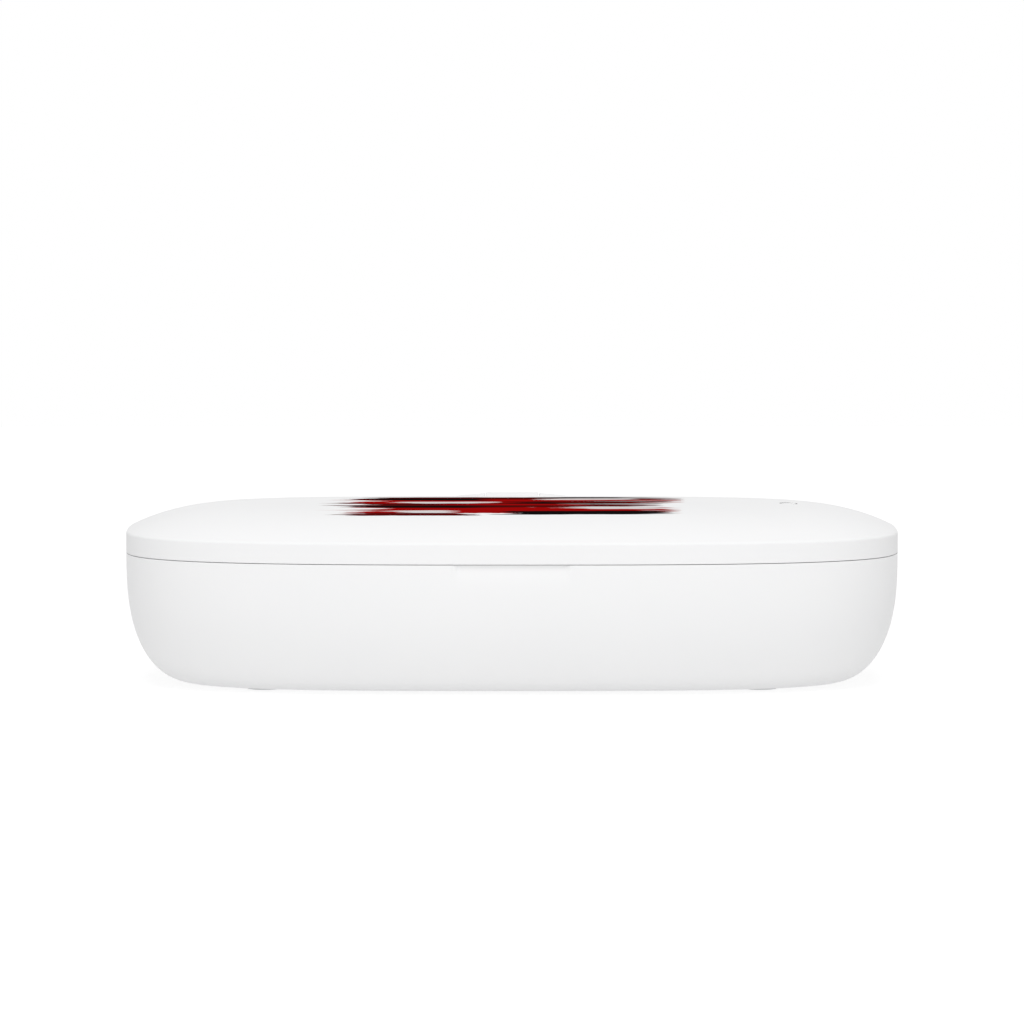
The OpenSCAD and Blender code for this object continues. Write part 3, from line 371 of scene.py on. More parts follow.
# Dry brush band on the lid's top: a line y = Level + Slope x + Bend x^2 with ragged ends and bristle lines.
# Mask = inside width * inside length, eaten away by fine bristles and broad clumps drawn out along the band.
def makeBandGroup():
    inputs = {"Vector": None, "From": -0.04, "To": 0.04, "Level": 0.0, "Slope": 0.1, "Bend": 0.0, "Half": 0.004,
              "Seed": 0.0, "Dry": 0.5}
    group, given = newGroup("brushBand", inputs, ("Mask",))

    def calc(operation, *values, **more):
        return mathNode(group, operation, *values, **more)

    def drawnOut(along, over, detail, roughness):
        place = combine(group, calc("MULTIPLY", x, along), calc("MULTIPLY", across, over), given["Seed"])
        return noise(group, place, 1.0, detail, roughness)

    def begun(distance):
        return mapRange(group, distance, 0.0, band["endSoft"], smooth=True)

    split = addNode(group, "ShaderNodeSeparateXYZ", Vector=given["Vector"])
    x, y = split.outputs[0], split.outputs[1]
    line = calc("MULTIPLY_ADD", x, given["Slope"], given["Level"])
    line = calc("MULTIPLY_ADD", calc("MULTIPLY", x, x), given["Bend"], line)
    across = calc("SUBTRACT", y, line)
    fine = drawnOut(*band["strands"], 3.0, 0.65)
    clumps = drawnOut(*band["clumps"], 1.0, 0.5)
    bristles = calc("MULTIPLY_ADD", fine, band["mix"], calc("MULTIPLY", clumps, 1 - band["mix"]))
    wobble = noise(group, combine(group, calc("MULTIPLY", x, band["wobble"]), given["Seed"]), detail=3.0,
                   settings={"noise_dimensions": "2D"})
    ragged = calc("MULTIPLY_ADD", calc("SUBTRACT", wobble, 0.5), band["wobbleShare"], 1.0)
    edge = calc("DIVIDE", calc("ABSOLUTE", across), calc("MULTIPLY", given["Half"], ragged))
    edge = calc("MULTIPLY_ADD", calc("SUBTRACT", 0.5, bristles), band["edgeShare"], edge)
    inWidth = mapRange(group, edge, band["edgeFrom"], 1.0, 1.0, 0.0, smooth=True)
    reach = calc("MULTIPLY_ADD", calc("SUBTRACT", bristles, 0.5), band["reach"], x)
    inLength = calc("MULTIPLY", begun(calc("SUBTRACT", reach, given["From"])),
                    begun(calc("SUBTRACT", given["To"], reach)))
    length = calc("SUBTRACT", given["To"], given["From"])
    done = calc("DIVIDE", calc("SUBTRACT", x, given["From"]), length, clamp=True)
    threshold = calc("MULTIPLY", calc("MULTIPLY_ADD", calc("MULTIPLY", done, done), band["dryGrowth"],
                                      band["dryStart"]), calc("ADD", given["Dry"], 0.5))
    paint = mapRange(group, calc("SUBTRACT", bristles, threshold), *band["paint"], smooth=True)
    return giveOut(group, Mask=calc("MULTIPLY", calc("MULTIPLY", inWidth, paint), inLength))


# Copper tracks under the lacquer of a board: the edges of cells, stepped on a fine grid
def makeTrackGroup():
    group, given = newGroup("boardTracks", {"Vector": None}, ("Mask",))
    stepped = addNode(group, "ShaderNodeVectorMath", {"operation": "SNAP"}, _0=given["Vector"],
                      _1=(0.0004, 0.0004, 0.01)).outputs[0]
    cells = addNode(group, "ShaderNodeTexVoronoi", {"feature": "DISTANCE_TO_EDGE"}, Vector=stepped,
                    Scale=210.0).outputs[0]
    return giveOut(group, Mask=mapRange(group, cells, 0.05, 0.07, 1.0, 0.0))


grainGroup = makeGrainGroup()
rolledGroup = makeRolledGroup()
bandGroup = makeBandGroup()
trackGroup = makeTrackGroup()


def useGroup(tree, group, **values):
    return addNode(tree, "ShaderNodeGroup", {"node_tree": group}, **values)


def objectPlace(tree):
    return tree.nodes.new("ShaderNodeTexCoord").outputs["Object"]


# Sockets of the shader that a look may set: label, name in the look, usual value
shaderInputs = (("Metallic", "metallic", 0.0), ("IOR", "ior", 1.5), ("Specular IOR Level", "specular", 0.5),
                ("Transmission Weight", "clear", 0.0), ("Subsurface Weight", "soft", 0.0))


def newMaterial(name):
    material = bpy.data.materials.new(name)
    material.use_nodes = True
    return material, material.node_tree, material.node_tree.nodes["Principled BSDF"]


# A material from its look: two tones mixed by the surface's cloud, roughness between two values,
# and a bump of the given height in millimetres
def makeFinish(name, colour, second, roughness, bump, grain, more):
    material, tree, shader = newMaterial(name)
    place = objectPlace(tree)
    low, high = roughness
    if len(grain) == 3:
        surface = useGroup(tree, rolledGroup, Vector=place, Stretch=grain, Low=low, High=high)
    else:
        surface = useGroup(tree, grainGroup, Vector=place, Fine=grain[0], Broad=grain[1], Low=low, High=high)
    shade = mixColour(tree, surface.outputs["Tone"], (*colour, 1), (*second, 1))
    height = surface.outputs["Height"]
    if "tracks" in more:
        tracks = useGroup(tree, trackGroup, Vector=place).outputs["Mask"]
        shade = mixColour(tree, tracks, shade, (*more["tracks"], 1))
        height = mathNode(tree, "MULTIPLY_ADD", tracks, 2.0, height)
    tree.links.new(shade, shader.inputs["Base Color"])
    tree.links.new(surface.outputs["Roughness"], shader.inputs["Roughness"])
    relief = addNode(tree, "ShaderNodeBump", Strength=more.get("strength", 0.3), Distance=bump * 0.001,
                     Height=height)
    tree.links.new(relief.outputs[0], shader.inputs["Normal"])
    for label, key, usual in shaderInputs:
        shader.inputs[label].default_value = more.get(key, usual)
    shader.inputs["Subsurface Radius"].default_value = (0.002, 0.0018, 0.0016)
    material.diffuse_color = (*colour, 1)
    return material


# Each look: colour, second tone, roughness range, bump (mm), scales of the fine and broad grain (1/m), or three
# along x, y and z for rolled metal, and what differs from a plain surface
looks = {
    "caseWhite": ((0.865, 0.865, 0.868), (0.855, 0.856, 0.86), (0.5, 0.58), 0.012, (3000, 25),
                  {"specular": 0.12, "strength": 0.25}),
    "buttonWhite": ((0.86, 0.86, 0.865), (0.85, 0.85, 0.855), (0.26, 0.34), 0.008, (4000, 120), {"strength": 0.25}),
    "hingeWhite": ((0.85, 0.85, 0.855), (0.835, 0.835, 0.84), (0.36, 0.46), 0.012, (3000, 90), {}),
    "metallised": ((0.80, 0.805, 0.82), (0.77, 0.775, 0.79), (0.17, 0.25), 0.02, (1800, 30),
                   {"metallic": 1.0, "strength": 0.2}),
    "mirrorSheet": ((0.86, 0.865, 0.875), (0.83, 0.835, 0.845), (0.07, 0.14), 0.004, (25, 2500, 2500),
                    {"metallic": 1.0, "strength": 0.2}),
    "clearRib": ((0.93, 0.94, 0.945), (0.9021, 0.9118, 0.91665), (0.12, 0.2), 0.01, (2400, 60),
                 {"clear": 0.55, "ior": 1.49}),
    "quartz": ((0.96, 0.97, 0.985), (0.9312, 0.9409, 0.95545), (0.02, 0.05), 0.002, (900, 80),
               {"clear": 0.96, "ior": 1.46, "strength": 0.1}),
    "lampGold": ((0.88, 0.70, 0.36), (0.82, 0.62, 0.30), (0.2, 0.32), 0.01, (5000, 400), {"metallic": 1.0}),
    "whiteBoard": ((0.80, 0.81, 0.80), (0.76, 0.77, 0.76), (0.3, 0.42), 0.03, (2600, 40),
                   {"tracks": (0.70, 0.71, 0.69)}),
    "greenBoard": ((0.014, 0.125, 0.055), (0.011, 0.10, 0.045), (0.25, 0.38), 0.03, (2600, 40),
                   {"tracks": (0.035, 0.20, 0.085)}),
    "chipBlack": ((0.03, 0.03, 0.032), (0.045, 0.045, 0.048), (0.45, 0.6), 0.02, (6000, 300), {}),
    "ferrite": ((0.075, 0.075, 0.08), (0.055, 0.055, 0.06), (0.5, 0.7), 0.03, (3500, 150), {}),
    "capacitor": ((0.52, 0.36, 0.20), (0.46, 0.31, 0.17), (0.35, 0.5), 0.01, (5000, 500), {}),
    "ivoryPlug": ((0.78, 0.74, 0.62), (0.74, 0.70, 0.58), (0.35, 0.48), 0.015, (4000, 200), {}),
    "screwSteel": ((0.68, 0.68, 0.69), (0.60, 0.60, 0.61), (0.2, 0.34), 0.01, (5200, 350), {"metallic": 1.0}),
    "drawnSteel": ((0.72, 0.72, 0.74), (0.66, 0.66, 0.68), (0.16, 0.3), 0.006, (60, 4000, 4000), {"metallic": 1.0}),
    "magnetNickel": ((0.70, 0.69, 0.67), (0.64, 0.63, 0.61), (0.12, 0.2), 0.006, (3000, 250), {"metallic": 1.0}),
    "sealRubber": ((0.62, 0.63, 0.64), (0.57, 0.58, 0.59), (0.55, 0.7), 0.03, (2600, 90), {"soft": 0.1}),
    "footRubber": ((0.68, 0.685, 0.69), (0.63, 0.635, 0.64), (0.6, 0.78), 0.05, (2200, 200), {}),
    "cableBlack": ((0.03, 0.03, 0.032), (0.022, 0.022, 0.024), (0.4, 0.55), 0.02, (3000, 200), {}),
    "wireRed": ((0.46, 0.03, 0.025), (0.40, 0.025, 0.02), (0.32, 0.45), 0.015, (3000, 200), {}),
    "copper": ((0.83, 0.43, 0.24), (0.72, 0.34, 0.18), (0.2, 0.32), 0.01, (4000, 160), {"metallic": 1.0}),
    "lampBlue": ((0.55, 0.78, 0.92), (0.50, 0.74, 0.90), (0.15, 0.25), 0.005, (4000, 400), {"clear": 0.3}),
}
finishes = {name: makeFinish(name, *look) for name, look in looks.items()}

# Print on the lid. Each band: start, end, level (mm), slope, bend (1/m), half width (mm), dryness, colour
printBands = {
    "centreX": 1.9, "lowest": 49.1, "seedStep": 7.3, "rougher": 0.4,
    "colours": {"red": (0.30, 0.003, 0.003), "deep": (0.085, 0.004, 0.004), "black": (0.006, 0.004, 0.004),
                "pale": (0.66, 0.62, 0.62)},
    "bands": [
        (-46, 47, -27, 0.01, 0.4, 8.2, 0.20, "red"),
        (-49, 43, -11, -0.02, 0.3, 8.6, 0.22, "deep"),
        (-44, 49, 5, 0.02, -0.5, 8.4, 0.22, "red"),
        (-36, 50, 17, 0.00, -0.6, 5.0, 0.25, "deep"),
        (-47, 8, -17, 0.02, 0.2, 4.2, 0.38, "black"),
        (-8, 49, -1, 0.05, 0.0, 5.0, 0.35, "black"),
        (-48, -2, 11, -0.04, 0.3, 4.6, 0.36, "black"),
        (0, 51, -34, 0.02, 0.3, 3.4, 0.34, "black"),
        (-40, -12, -31, 0.04, 0.0, 3.2, 0.42, "pale"),
        (16, 47, -20, -0.03, 0.0, 4.4, 0.40, "pale"),
        (-30, 0, 0, 0.03, 0.0, 3.6, 0.42, "pale"),
        (12, 40, 13, 0.05, 0.0, 3.0, 0.44, "pale"),
        (-14, 26, -8, -0.05, 0.4, 3.2, 0.40, "red"),
        (6, 48, 21, -0.01, -0.2, 2.4, 0.36, "black"),
        (-46, -6, -37, -0.02, 0.0, 2.2, 0.36, "deep"),
    ],
}


# White plastic without shine, with the brush bands printed over it above a given height
def makePrintedFinish(name, look, print_):
    material = makeFinish(name, *look[:-1], {**look[-1], "specular": 0.0})
    tree = material.node_tree
    shader = tree.nodes["Principled BSDF"]
    place = addNode(tree, "ShaderNodeMapping", Vector=objectPlace(tree),
                    Location=(-print_["centreX"] * 0.001, case["centreY"] * 0.001, 0)).outputs[0]
    colour = shader.inputs["Base Color"].links[0].from_socket
    above = mathNode(tree, "GREATER_THAN", addNode(tree, "ShaderNodeSeparateXYZ", Vector=place).outputs[2],
                     print_["lowest"] * 0.001)
    covered = 0.0
    for number, (start, end, level, slope, bend, half, dry, shade) in enumerate(print_["bands"]):
        mask = useGroup(tree, bandGroup, Vector=place, From=start * 0.001, To=end * 0.001, Level=level * 0.001,
                        Slope=slope, Bend=bend, Half=half * 0.001, Seed=print_["seedStep"] * number + 1, Dry=dry)
        share = mathNode(tree, "MULTIPLY", mask.outputs["Mask"], above)
        colour = mixColour(tree, share, colour, (*print_["colours"][shade], 1))
        covered = mathNode(tree, "MAXIMUM", covered, share)
    tree.links.new(colour, shader.inputs["Base Color"])
    plain = shader.inputs["Roughness"].links[0].from_socket
    tree.links.new(mathNode(tree, "MULTIPLY_ADD", covered, print_["rougher"], plain), shader.inputs["Roughness"])
    return material


# gapPaintedShade is the dark grey painted into the gap round the button in place of the gap's shadow
button = {"x": 79.0, "y": 0.0, "gapR": 2.66, "capR": 2.17, "gapPaintedShade": (0.035, 0.035, 0.037)}


# Painted shade: the dark grey it mixes in stands for the shadow inside the narrow gap round the start button.
# Darkens a material where its distance from the button's axis is above or below a radius in millimetres:
# distance = sqrt((X - x)^2 + (Y - y)^2)
def paintRoundShade(material, comparison, radius):
    tree = material.node_tree
    base = tree.nodes["Principled BSDF"].inputs["Base Color"]
    split = addNode(tree, "ShaderNodeSeparateXYZ", Vector=objectPlace(tree))
    away = combine(tree, mathNode(tree, "SUBTRACT", split.outputs[0], button["x"] * 0.001),
                   mathNode(tree, "SUBTRACT", split.outputs[1], (button["y"] - case["centreY"]) * 0.001))
    distance = addNode(tree, "ShaderNodeVectorMath", {"operation": "LENGTH"}, _0=away).outputs["Value"]
    mask = mathNode(tree, comparison, distance, radius * 0.001)
    tree.links.new(mixColour(tree, mask, base.links[0].from_socket, (*button["gapPaintedShade"], 1)), base)


# Painted shade in the narrow gap round the start button: the wall of its hole and the side of its cap are coloured
# dark grey where the gap's shadow falls
finishes["lidPrinted"] = makePrintedFinish("lidPrinted", looks["caseWhite"], printBands)
paintRoundShade(finishes["lidPrinted"], "LESS_THAN", button["gapR"])
paintRoundShade(finishes["buttonWhite"], "GREATER_THAN", button["capR"])
print("finishes made:", len(finishes))

# ---- base shell ----

baseShape = {
    "bottomRound": 18.4, "height": 36.75, "powerIn": 2.09, "powerUp": 2.68,
    "rowStep": 1.2, "fineHigh": 8.5, "fineStep": 0.35, "innerStep": 2.0,
    "gripHalf": 16.5, "gripDeep": 0.85, "gripHigh": 8.0, "gripEnd": 0.7, "gripColumns": (13.0, 19.5, 0.25),
    "boardPost": (46.0, 26.0), "socketPostX": 6.5, "bracketScrew": (11.5, 28.5),
}


# Bottom curve of the base, or of its inside a wall further in: in = R (1 - cos^(2/pIn)), up = H (1 - sin^(2/pUp))
def bottomCurve(wall=0.0):
    turn = np.linspace(np.pi / 2, 0, 900)
    inset = wall + baseShape["bottomRound"] * (1 - np.abs(np.cos(turn)) ** (2 / baseShape["powerIn"]))
    inset[0] = wall + baseShape["bottomRound"]
    height = baseShape["height"] - wall
    return np.stack([inset, case["shellZ"] + wall + height * (1 - np.sin(turn) ** (2 / baseShape["powerUp"]))], -1)


# How far the base's outer face, or its inner one, lies in from the edge at a height
def baseInset(z, wall=0.0):
    curve = bottomCurve(wall)
    return np.interp(z, curve[:, 1], curve[:, 0])


# Depth of the finger recess: deep * (1 - down / high)^3, times a smooth step at both ends
def gripDepth(points):
    s = baseShape
    down = np.maximum(case["rimZ"] - points[..., 2], 0)
    bowl = s["gripDeep"] * np.clip(1 - down / s["gripHigh"], 0, 1) ** 3
    inside = np.clip((s["gripHalf"] - np.abs(points[..., 0])) * s["gripEnd"], 0, 1)
    return np.where(points[..., 1] < 0, bowl * inside ** 2 * (3 - 2 * inside), 0)


# The case's own turns, with closer columns in front round the ends of the finger recess
def gripTurns():
    stations = np.arange(*baseShape["gripColumns"])
    stations = np.concatenate([stations, -stations])
    cosine = np.sign(stations) * np.abs(stations / case["halfWidth"]) ** (case["power"] / 2)
    turns = np.unique(np.concatenate([caseTurns(), 2 * np.pi - np.arccos(cosine)]).round(6))
    return turns[np.concatenate([[True], np.diff(turns) > 2e-4])]


# Opening for the socket: a flat oval carried through the wall, whose mouth opens out where it meets
# the sloping outer face, at y = b - inset(z)
def socketCutter():
    width, height, z0 = 9.34, 3.56, 15.88
    t = np.arange(56) * 2 * np.pi / 56
    u = height / 2 * np.cos(t) + np.sign(np.cos(t).round(9)) * (width - height) / 2
    v = height / 2 * np.sin(t)
    rows = []
    for offset, grow in ((-12, 0), (-0.5, 0), (-0.25, 0.04), (-0.08, 0.14), (0.1, 0.32), (8, 0.32)):
        x, z = u * (1 + 2 * grow / width), z0 + v * (1 + 2 * grow / height)
        rows.append(np.stack([x, case["halfDepth"] - baseInset(z) + offset, z], -1))
    return np.stack(rows)


def makeBaseShell():
    s, rim, wall, edge = baseShape, case["rimZ"], case["wall"], case["lipEdge"]
    outer, inner = bottomCurve(), bottomCurve(wall)[::-1]
    fineFrom = rim - s["fineHigh"]
    outside = np.concatenate([
        evenly(outer[outer[:, 1] < fineFrom], s["rowStep"]),
        evenly(outer[(outer[:, 1] >= fineFrom) & (outer[:, 1] < rim - edge - 0.1)], s["fineStep"]),
        softCorner((0, rim - edge), (0, rim), (edge, rim), 3)])
    across = np.stack([np.linspace(edge, wall - edge, 8)[1:-1], np.full(6, rim)], -1)
    inside = np.concatenate([softCorner((wall - edge, rim), (wall, rim), (wall, rim - edge), 3),
                             evenly(inner[inner[:, 1] < rim - 0.5], s["innerStep"])])
    grid = ringSurface(caseRings(np.concatenate([outside, across, inside])), gripTurns())
    fade = 1 - (across[:, 0] - edge) / (wall - 2 * edge)
    fade = np.concatenate([np.ones(len(outside)), fade, np.zeros(len(inside))])
    grid[..., 1] += gripDepth(grid) * fade[:, None]
    shell = makePiece("baseShell", [grid])

    socketPostY = case["halfDepth"] - baseInset(13.3, wall) - 4.4
    feet, posts = fourPlaces(*case["foot"]), fourPlaces(*s["boardPost"])
    adds = [turnedSolid([(5, 2.0), (5, 4.3), (4.7, 4.6)], place, 40) for place in feet]
    adds += [turnedSolid([(2.4, 2.0), (2.4, 4.2), (2.2, 4.4)], place, 24) for place in posts]
    adds += [drum(2, 5.4, 13.3, (sx * s["socketPostX"], socketPostY), 24) for sx in sides]
    hingePad = roundedBox((-16, 16), (56.0, 59.18), 0.3, 2)
    adds.append(carried(hingePad, [(23.0, -0.2), (23.2, 0), (34.65, 0), (34.85, -0.2)], "z"))
    carve(shell, adds, "UNION")

    footBore = [(6.6, -2), (5.45, 0.45), (5.22, 0.62), (5.12, 0.8), (5.1, 1.2), (2.7, 1.2), (2.7, 2.9), (1.45, 2.9),
                (1.45, 8)]
    cuts = [turnedSolid(footBore, place, 56) for place in feet] + [drum(0.95, 2.8, 6, place, 20) for place in posts]
    stations = [(55.0, 0), (60.12, 0), (60.3, 0.05), (60.42, 0.16), (60.6, 0.42), (70, 0.42)]
    cuts.append(carried(roundedBox((-8, 8), (29.9, 50), 0.8), stations, "y"))
    cuts.append(socketCutter())
    screwX, screwZ = s["bracketScrew"]
    cuts += [drum(1.02, 0, 4.3, count=20)[..., [0, 2, 1]] + [sx * screwX, 55.0, screwZ] for sx in sides]
    carve(shell, cuts)
    handOver(shell, "caseWhite", "base", "base_shell")


makeBaseShell()
print("base shell made")

# ---- chamber ----

chamberShape = {
    "size": (93.0, 45.5), "outer": (107.55, 58.05), "power": 5.0, "draft": 2.5, "corner": 5.0, "floorZ": 11.0,
    "underZ": 9.5, "thick": 1.5, "sealPower": 4.6, "sealIn": 1.6, "sealWide": 2.4, "sealSink": 0.6,
    "sealTop": 37.95, "lampX": 62.0, "notchX": 8.0, "notchY": 55.45, "bumperX": 70.0, "bumperR": 2.0, "bumperZ": 35.95,
    "ribs": (-36, -12, 12, 36), "ribHalf": 28.0, "ribWide": 2.4, "ribHigh": 3.4, "ribEnd": 1.2,
}


# Rings of the tub moved out by grow: a round corner, in = draft + r (1 - sin t), up = r (1 - cos t),
# and then a straight wall that leans out by the draft
def tubRings(floorAt, topAt, grow, radius, steps):
    s = chamberShape
    t = np.linspace(0, np.pi / 2, steps + 1)
    foot = grow - s["draft"]
    out = np.concatenate([foot - radius * (1 - np.sin(t)), np.linspace(foot, grow, 9)[1:]])
    z = np.concatenate([floorAt + radius * (1 - np.cos(t)), np.linspace(floorAt + radius, topAt, 9)[1:]])
    return ringsOf(s["size"], s["power"], zip(out, z))


def makeTray():
    s, top, power = chamberShape, case["trayZ"], chamberShape["power"]
    below, sunk = top - case["flange"], top - s["sealSink"]
    near, far = s["sealIn"] - 0.05, s["sealIn"] + s["sealWide"] + 0.05
    rows = [[1.0, 0.5, power, s["underZ"]]] + tubRings(s["underZ"], below, s["thick"], s["corner"] + s["thick"], 6)
    rows += ringsOf(s["outer"], case["power"], [(0, below), (0, top - 0.25), (-0.07, top - 0.07), (-0.25, top)])
    rows += ringsOf(s["size"], s["sealPower"], [(far, top), (far, sunk), (near, sunk), (near, top)])
    rows += ringsOf(s["size"], power, softCorner((0.25, top), (0, top), (-0.02, top - 0.5), 4))
    rows += tubRings(s["floorZ"], top - 0.5, -0.02, s["corner"], 12)[-2::-1] + [[1.0, 0.5, power, s["floorZ"]]]
    tray = makePiece("chamberTray", [ringSurface(rows, evenTurns(*s["size"], power, 1.6))])
    lampSeat = [(4.6, 7.0), (4.6, 10.0), (6.05, 10.0), (6.05, 10.85), (6.25, 11.05), (6.25, 12)]
    adds = [drum(3.2, 4.65, 10.0, place) for place in fourPlaces(*case["foot"])]
    cuts = [drum(1.32, 4.6, 9.3, place, 30) for place in fourPlaces(*case["foot"])]
    for sx in sides:
        lamp, magnet = (sx * s["lampX"], 0), (sx * case["magnet"][0], case["magnet"][1])
        adds += [drum(7.3, 8.1, 10.0, lamp, 48), drum(3.7, 33.55, 36.0, magnet)]
        cuts += [turnedSolid(lampSeat, lamp, 56), drum(2.75, 33.0, 36.35, magnet)]
    cuts += [turnedSolid([(2.05, 35.95), (2.05, 36.65), (2.2, 36.8), (2.2, 38)], place) for place in bumperPlaces()]
    cuts.append(boxGrid((-s["notchX"], s["notchX"]), (s["notchY"], 70), (34, 40), 0.8))
    carve(tray, adds, "UNION")
    carve(tray, cuts)
    handOver(tray, "metallised", "base", "chamber_tray")


# Half depth of the inside of the rim at x
def rimY(x):
    return outlineY(x, case["halfWidth"] - 2.45, case["halfDepth"] - 2.45, case["power"])


def bumperPlaces():
    s = chamberShape
    sealA, sealB = (half + s["sealIn"] + s["sealWide"] for half in s["size"])
    endX = (sealA + case["halfWidth"] - case["wall"]) / 2
    frontX = s["bumperX"]
    frontY = -(outlineY(frontX, sealA, sealB, s["sealPower"]) + rimY(frontX)) / 2
    return [(-endX, 0), (endX, 0), (-frontX, frontY), (frontX, frontY)]


# Rubber seal: a flat foot in the groove under a half-round lip that runs round the chamber
def makeSeal():
    s = chamberShape
    half, low, high = s["sealWide"] / 2, case["trayZ"] - s["sealSink"], s["sealTop"]
    t = np.linspace(0, np.pi, 13)
    top = np.stack([-half * np.cos(t), high - half * 0.95 * (1 - np.sin(t))], -1)
    foot = np.stack([np.linspace(half, -half, 5), np.full(5, low)], -1)
    section = np.concatenate([foot[-1:], top, foot[:-1]]) + [s["sealIn"] + half, 0]
    grid = ringSurface(ringsOf(s["size"], s["sealPower"], section), evenTurns(*s["size"], s["sealPower"], 1.2))
    seal = makePiece("chamberSeal", [grid], closedRows=True)
    handOver(seal, "sealRubber", "base", "chamber_seal")


# Polished plate on the chamber's floor with a rounded edge, lamp holes and slots for the ribs
def makeReflector():
    s, z = chamberShape, chamberShape["floorZ"]
    inset = s["draft"] + s["corner"] + 1
    a, b = (half - inset for half in s["size"])
    path = [(0, z), (0, z + 0.28), (-0.04, z + 0.36), (-0.15, z + 0.4), (-20, z + 0.4), (0.5 - b, z + 0.4)]
    rows = [[1, 0.5, s["power"], z]] + ringsOf((a, b), s["power"], path)
    plate = makePiece("reflectorPlate", [ringSurface(rows, evenTurns(a, b, s["power"], 1.8))])
    lampHole = [(5.4, z - 1), (5.4, z + 0.3), (5.5, z + 0.45), (5.5, z + 2)]
    cuts = [turnedSolid(lampHole, (sx * s["lampX"], 0), 56) for sx in sides]
    cuts += [boxGrid((x - 1.3, x + 1.3), (-28.1, 28.1), (z - 1, z + 2), 0.5) for x in s["ribs"]]
    carve(plate, cuts)
    handOver(plate, "mirrorSheet", "base", "reflector_plate")


# Clear ribs that the phone lies on: a round-topped section carried along Y, drawn in at both ends:
# share = sqrt(1 - (1 - d/r)^2) within r of an end
def makeRests():
    s, low = chamberShape, chamberShape["floorZ"]
    half, r, end = s["ribHalf"], s["ribWide"] / 2, s["ribEnd"]
    t = np.linspace(0, np.pi, 13)
    section = np.concatenate([np.stack([r * np.cos(t), low + s["ribHigh"] - r * (1 - np.sin(t))], -1),
                              [[-r, low], [0, low], [r, low]]])
    d = np.concatenate([np.linspace(0, end, 7), [4, 12, half]])
    y = np.concatenate([-half + d, (half - d)[::-1][1:]])
    share = np.sqrt(np.clip(1 - (1 - np.minimum(half - np.abs(y), end) / end) ** 2, 0.0004, 1))[:, None]
    u = section[:, 0] * share
    v = low + (section[:, 1] - low) * (0.72 + 0.28 * share)
    grids = [np.stack([x + u, np.broadcast_to(y[:, None], u.shape), v], -1) for x in s["ribs"]]
    handOver(makePiece("phoneRests", grids), "clearRib", "base", "phone_rests")


# Small round buffers on the rim, with a domed head
def makeBumpers():
    s = chamberShape
    t = np.linspace(0, np.pi / 2, 7)[:-1]
    dome = [(s["bumperR"] * math.cos(a) ** 0.5, 37.65 + 0.5 * math.sin(a)) for a in t] + [(0, 38.15)]
    path = [(0, s["bumperZ"]), (s["bumperR"], s["bumperZ"])] + dome
    bumpers = makePiece("rimBumpers", [turned(path, place, 32) for place in bumperPlaces()])
    handOver(bumpers, "footRubber", "base", "rim_bumpers")


# Rubber feet: a disc with a rounded lower edge and a shallow dish
def makeFeet():
    path = [(3.6, 0.12), (3.9, 0.05), (4.2, 0.0), (4.6, 0.0), (4.85, 0.06), (4.97, 0.2), (5.0, 0.4), (5.0, 1.2)]
    feet = makePiece("rubberFeet", [turnedSolid(path, place, 56) for place in fourPlaces(*case["foot"])])
    handOver(feet, "footRubber", "base", "rubber_feet")


makeTray()
makeSeal()
makeReflector()
makeRests()
makeBumpers()
makeFeet()
print("chamber made")

# ---- lid ----

lidShape = {
    "crownWide": 47.0, "crownHigh": 7.37, "crownPower": 3.27, "shoulder": 0.55,
    "hingeY": 60.0, "hingeZ": 45.4, "pinR": 2.02, "pinReach": 14.9, "leadR": 1.3, "leadX": 16.25, "leadEnd": 17.5,
    "knuckleX": (7.98, 8.06, 8.3, 9.1, 10.3, 12, 14, 15.2, 16.5, 17.5, 18.2, 18.6, 18.8),
    "knuckleR": (3.75, 3.92, 3.98, 3.86, 3.72, 3.58, 3.46, 3.34, 3.1, 2.7, 2.2, 1.6, 0.9),
    "underZ": 44.15, "linerIn": 3.0, "ceilingZ": 42.65, "linerThick": 1.5, "lampY": 20.0, "screwX": 62.0,
}


# Height of the crown above its edge at a distance in: H (1 - (1 - d/W)^p)
def crownRise(inset):
    share = np.clip(inset / lidShape["crownWide"], 0, 1)
    return lidShape["crownHigh"] * (1 - (1 - share) ** lidShape["crownPower"])


# Height of the lid's top at points in plan. The distance in is the one whose ring passes through the point,
# found by halving its range.
def crownHeight(x, y):
    x, y = np.broadcast_arrays(np.asarray(x, float), np.asarray(y, float))
    low, high = np.zeros(x.shape), np.full(x.shape, lidShape["crownWide"])
    for _ in range(24):
        mid = (low + high) / 2
        reach = np.abs(x / (case["halfWidth"] - mid)) ** case["power"] \
            + np.abs(y / (case["halfDepth"] - mid)) ** case["power"]
        low, high = np.where(reach < 1, mid, low), np.where(reach < 1, high, mid)
    return case["edgeZ"] + crownRise((low + high) / 2)


# Lid knuckle: a round bar along X that narrows outwards. Its section is the outline round three circles:
# the bar's own, one under the crown in front and one inside the rear wall, so that it grows out of both.
# In each direction the point is centre + radius * direction of the circle that reaches furthest.
def knuckleGrid(side):
    y0, z0 = lidShape["hingeY"], lidShape["hingeZ"]
    x, r = np.array(lidShape["knuckleX"]), np.array(lidShape["knuckleR"])
    t = np.arange(72) * 2 * np.pi / 72
    direction = np.stack([np.cos(t), np.sin(t)], -1)
    centres = np.array([[y0, z0], [y0 - 7.6, z0 - 1.2], [y0 - 0.75, z0 - 5.6]])
    radii = np.stack([r, np.minimum(r, 1.6), np.minimum(r, 1.2)], -1)
    reach = (centres @ direction.T)[None] + radii[:, :, None]
    best = reach.argmax(1)
    rings = centres[best] + np.take_along_axis(radii, best, 1)[..., None] * direction
    return np.concatenate([np.broadcast_to(side * x[:, None, None], rings.shape[:2] + (1,)), rings], -1)


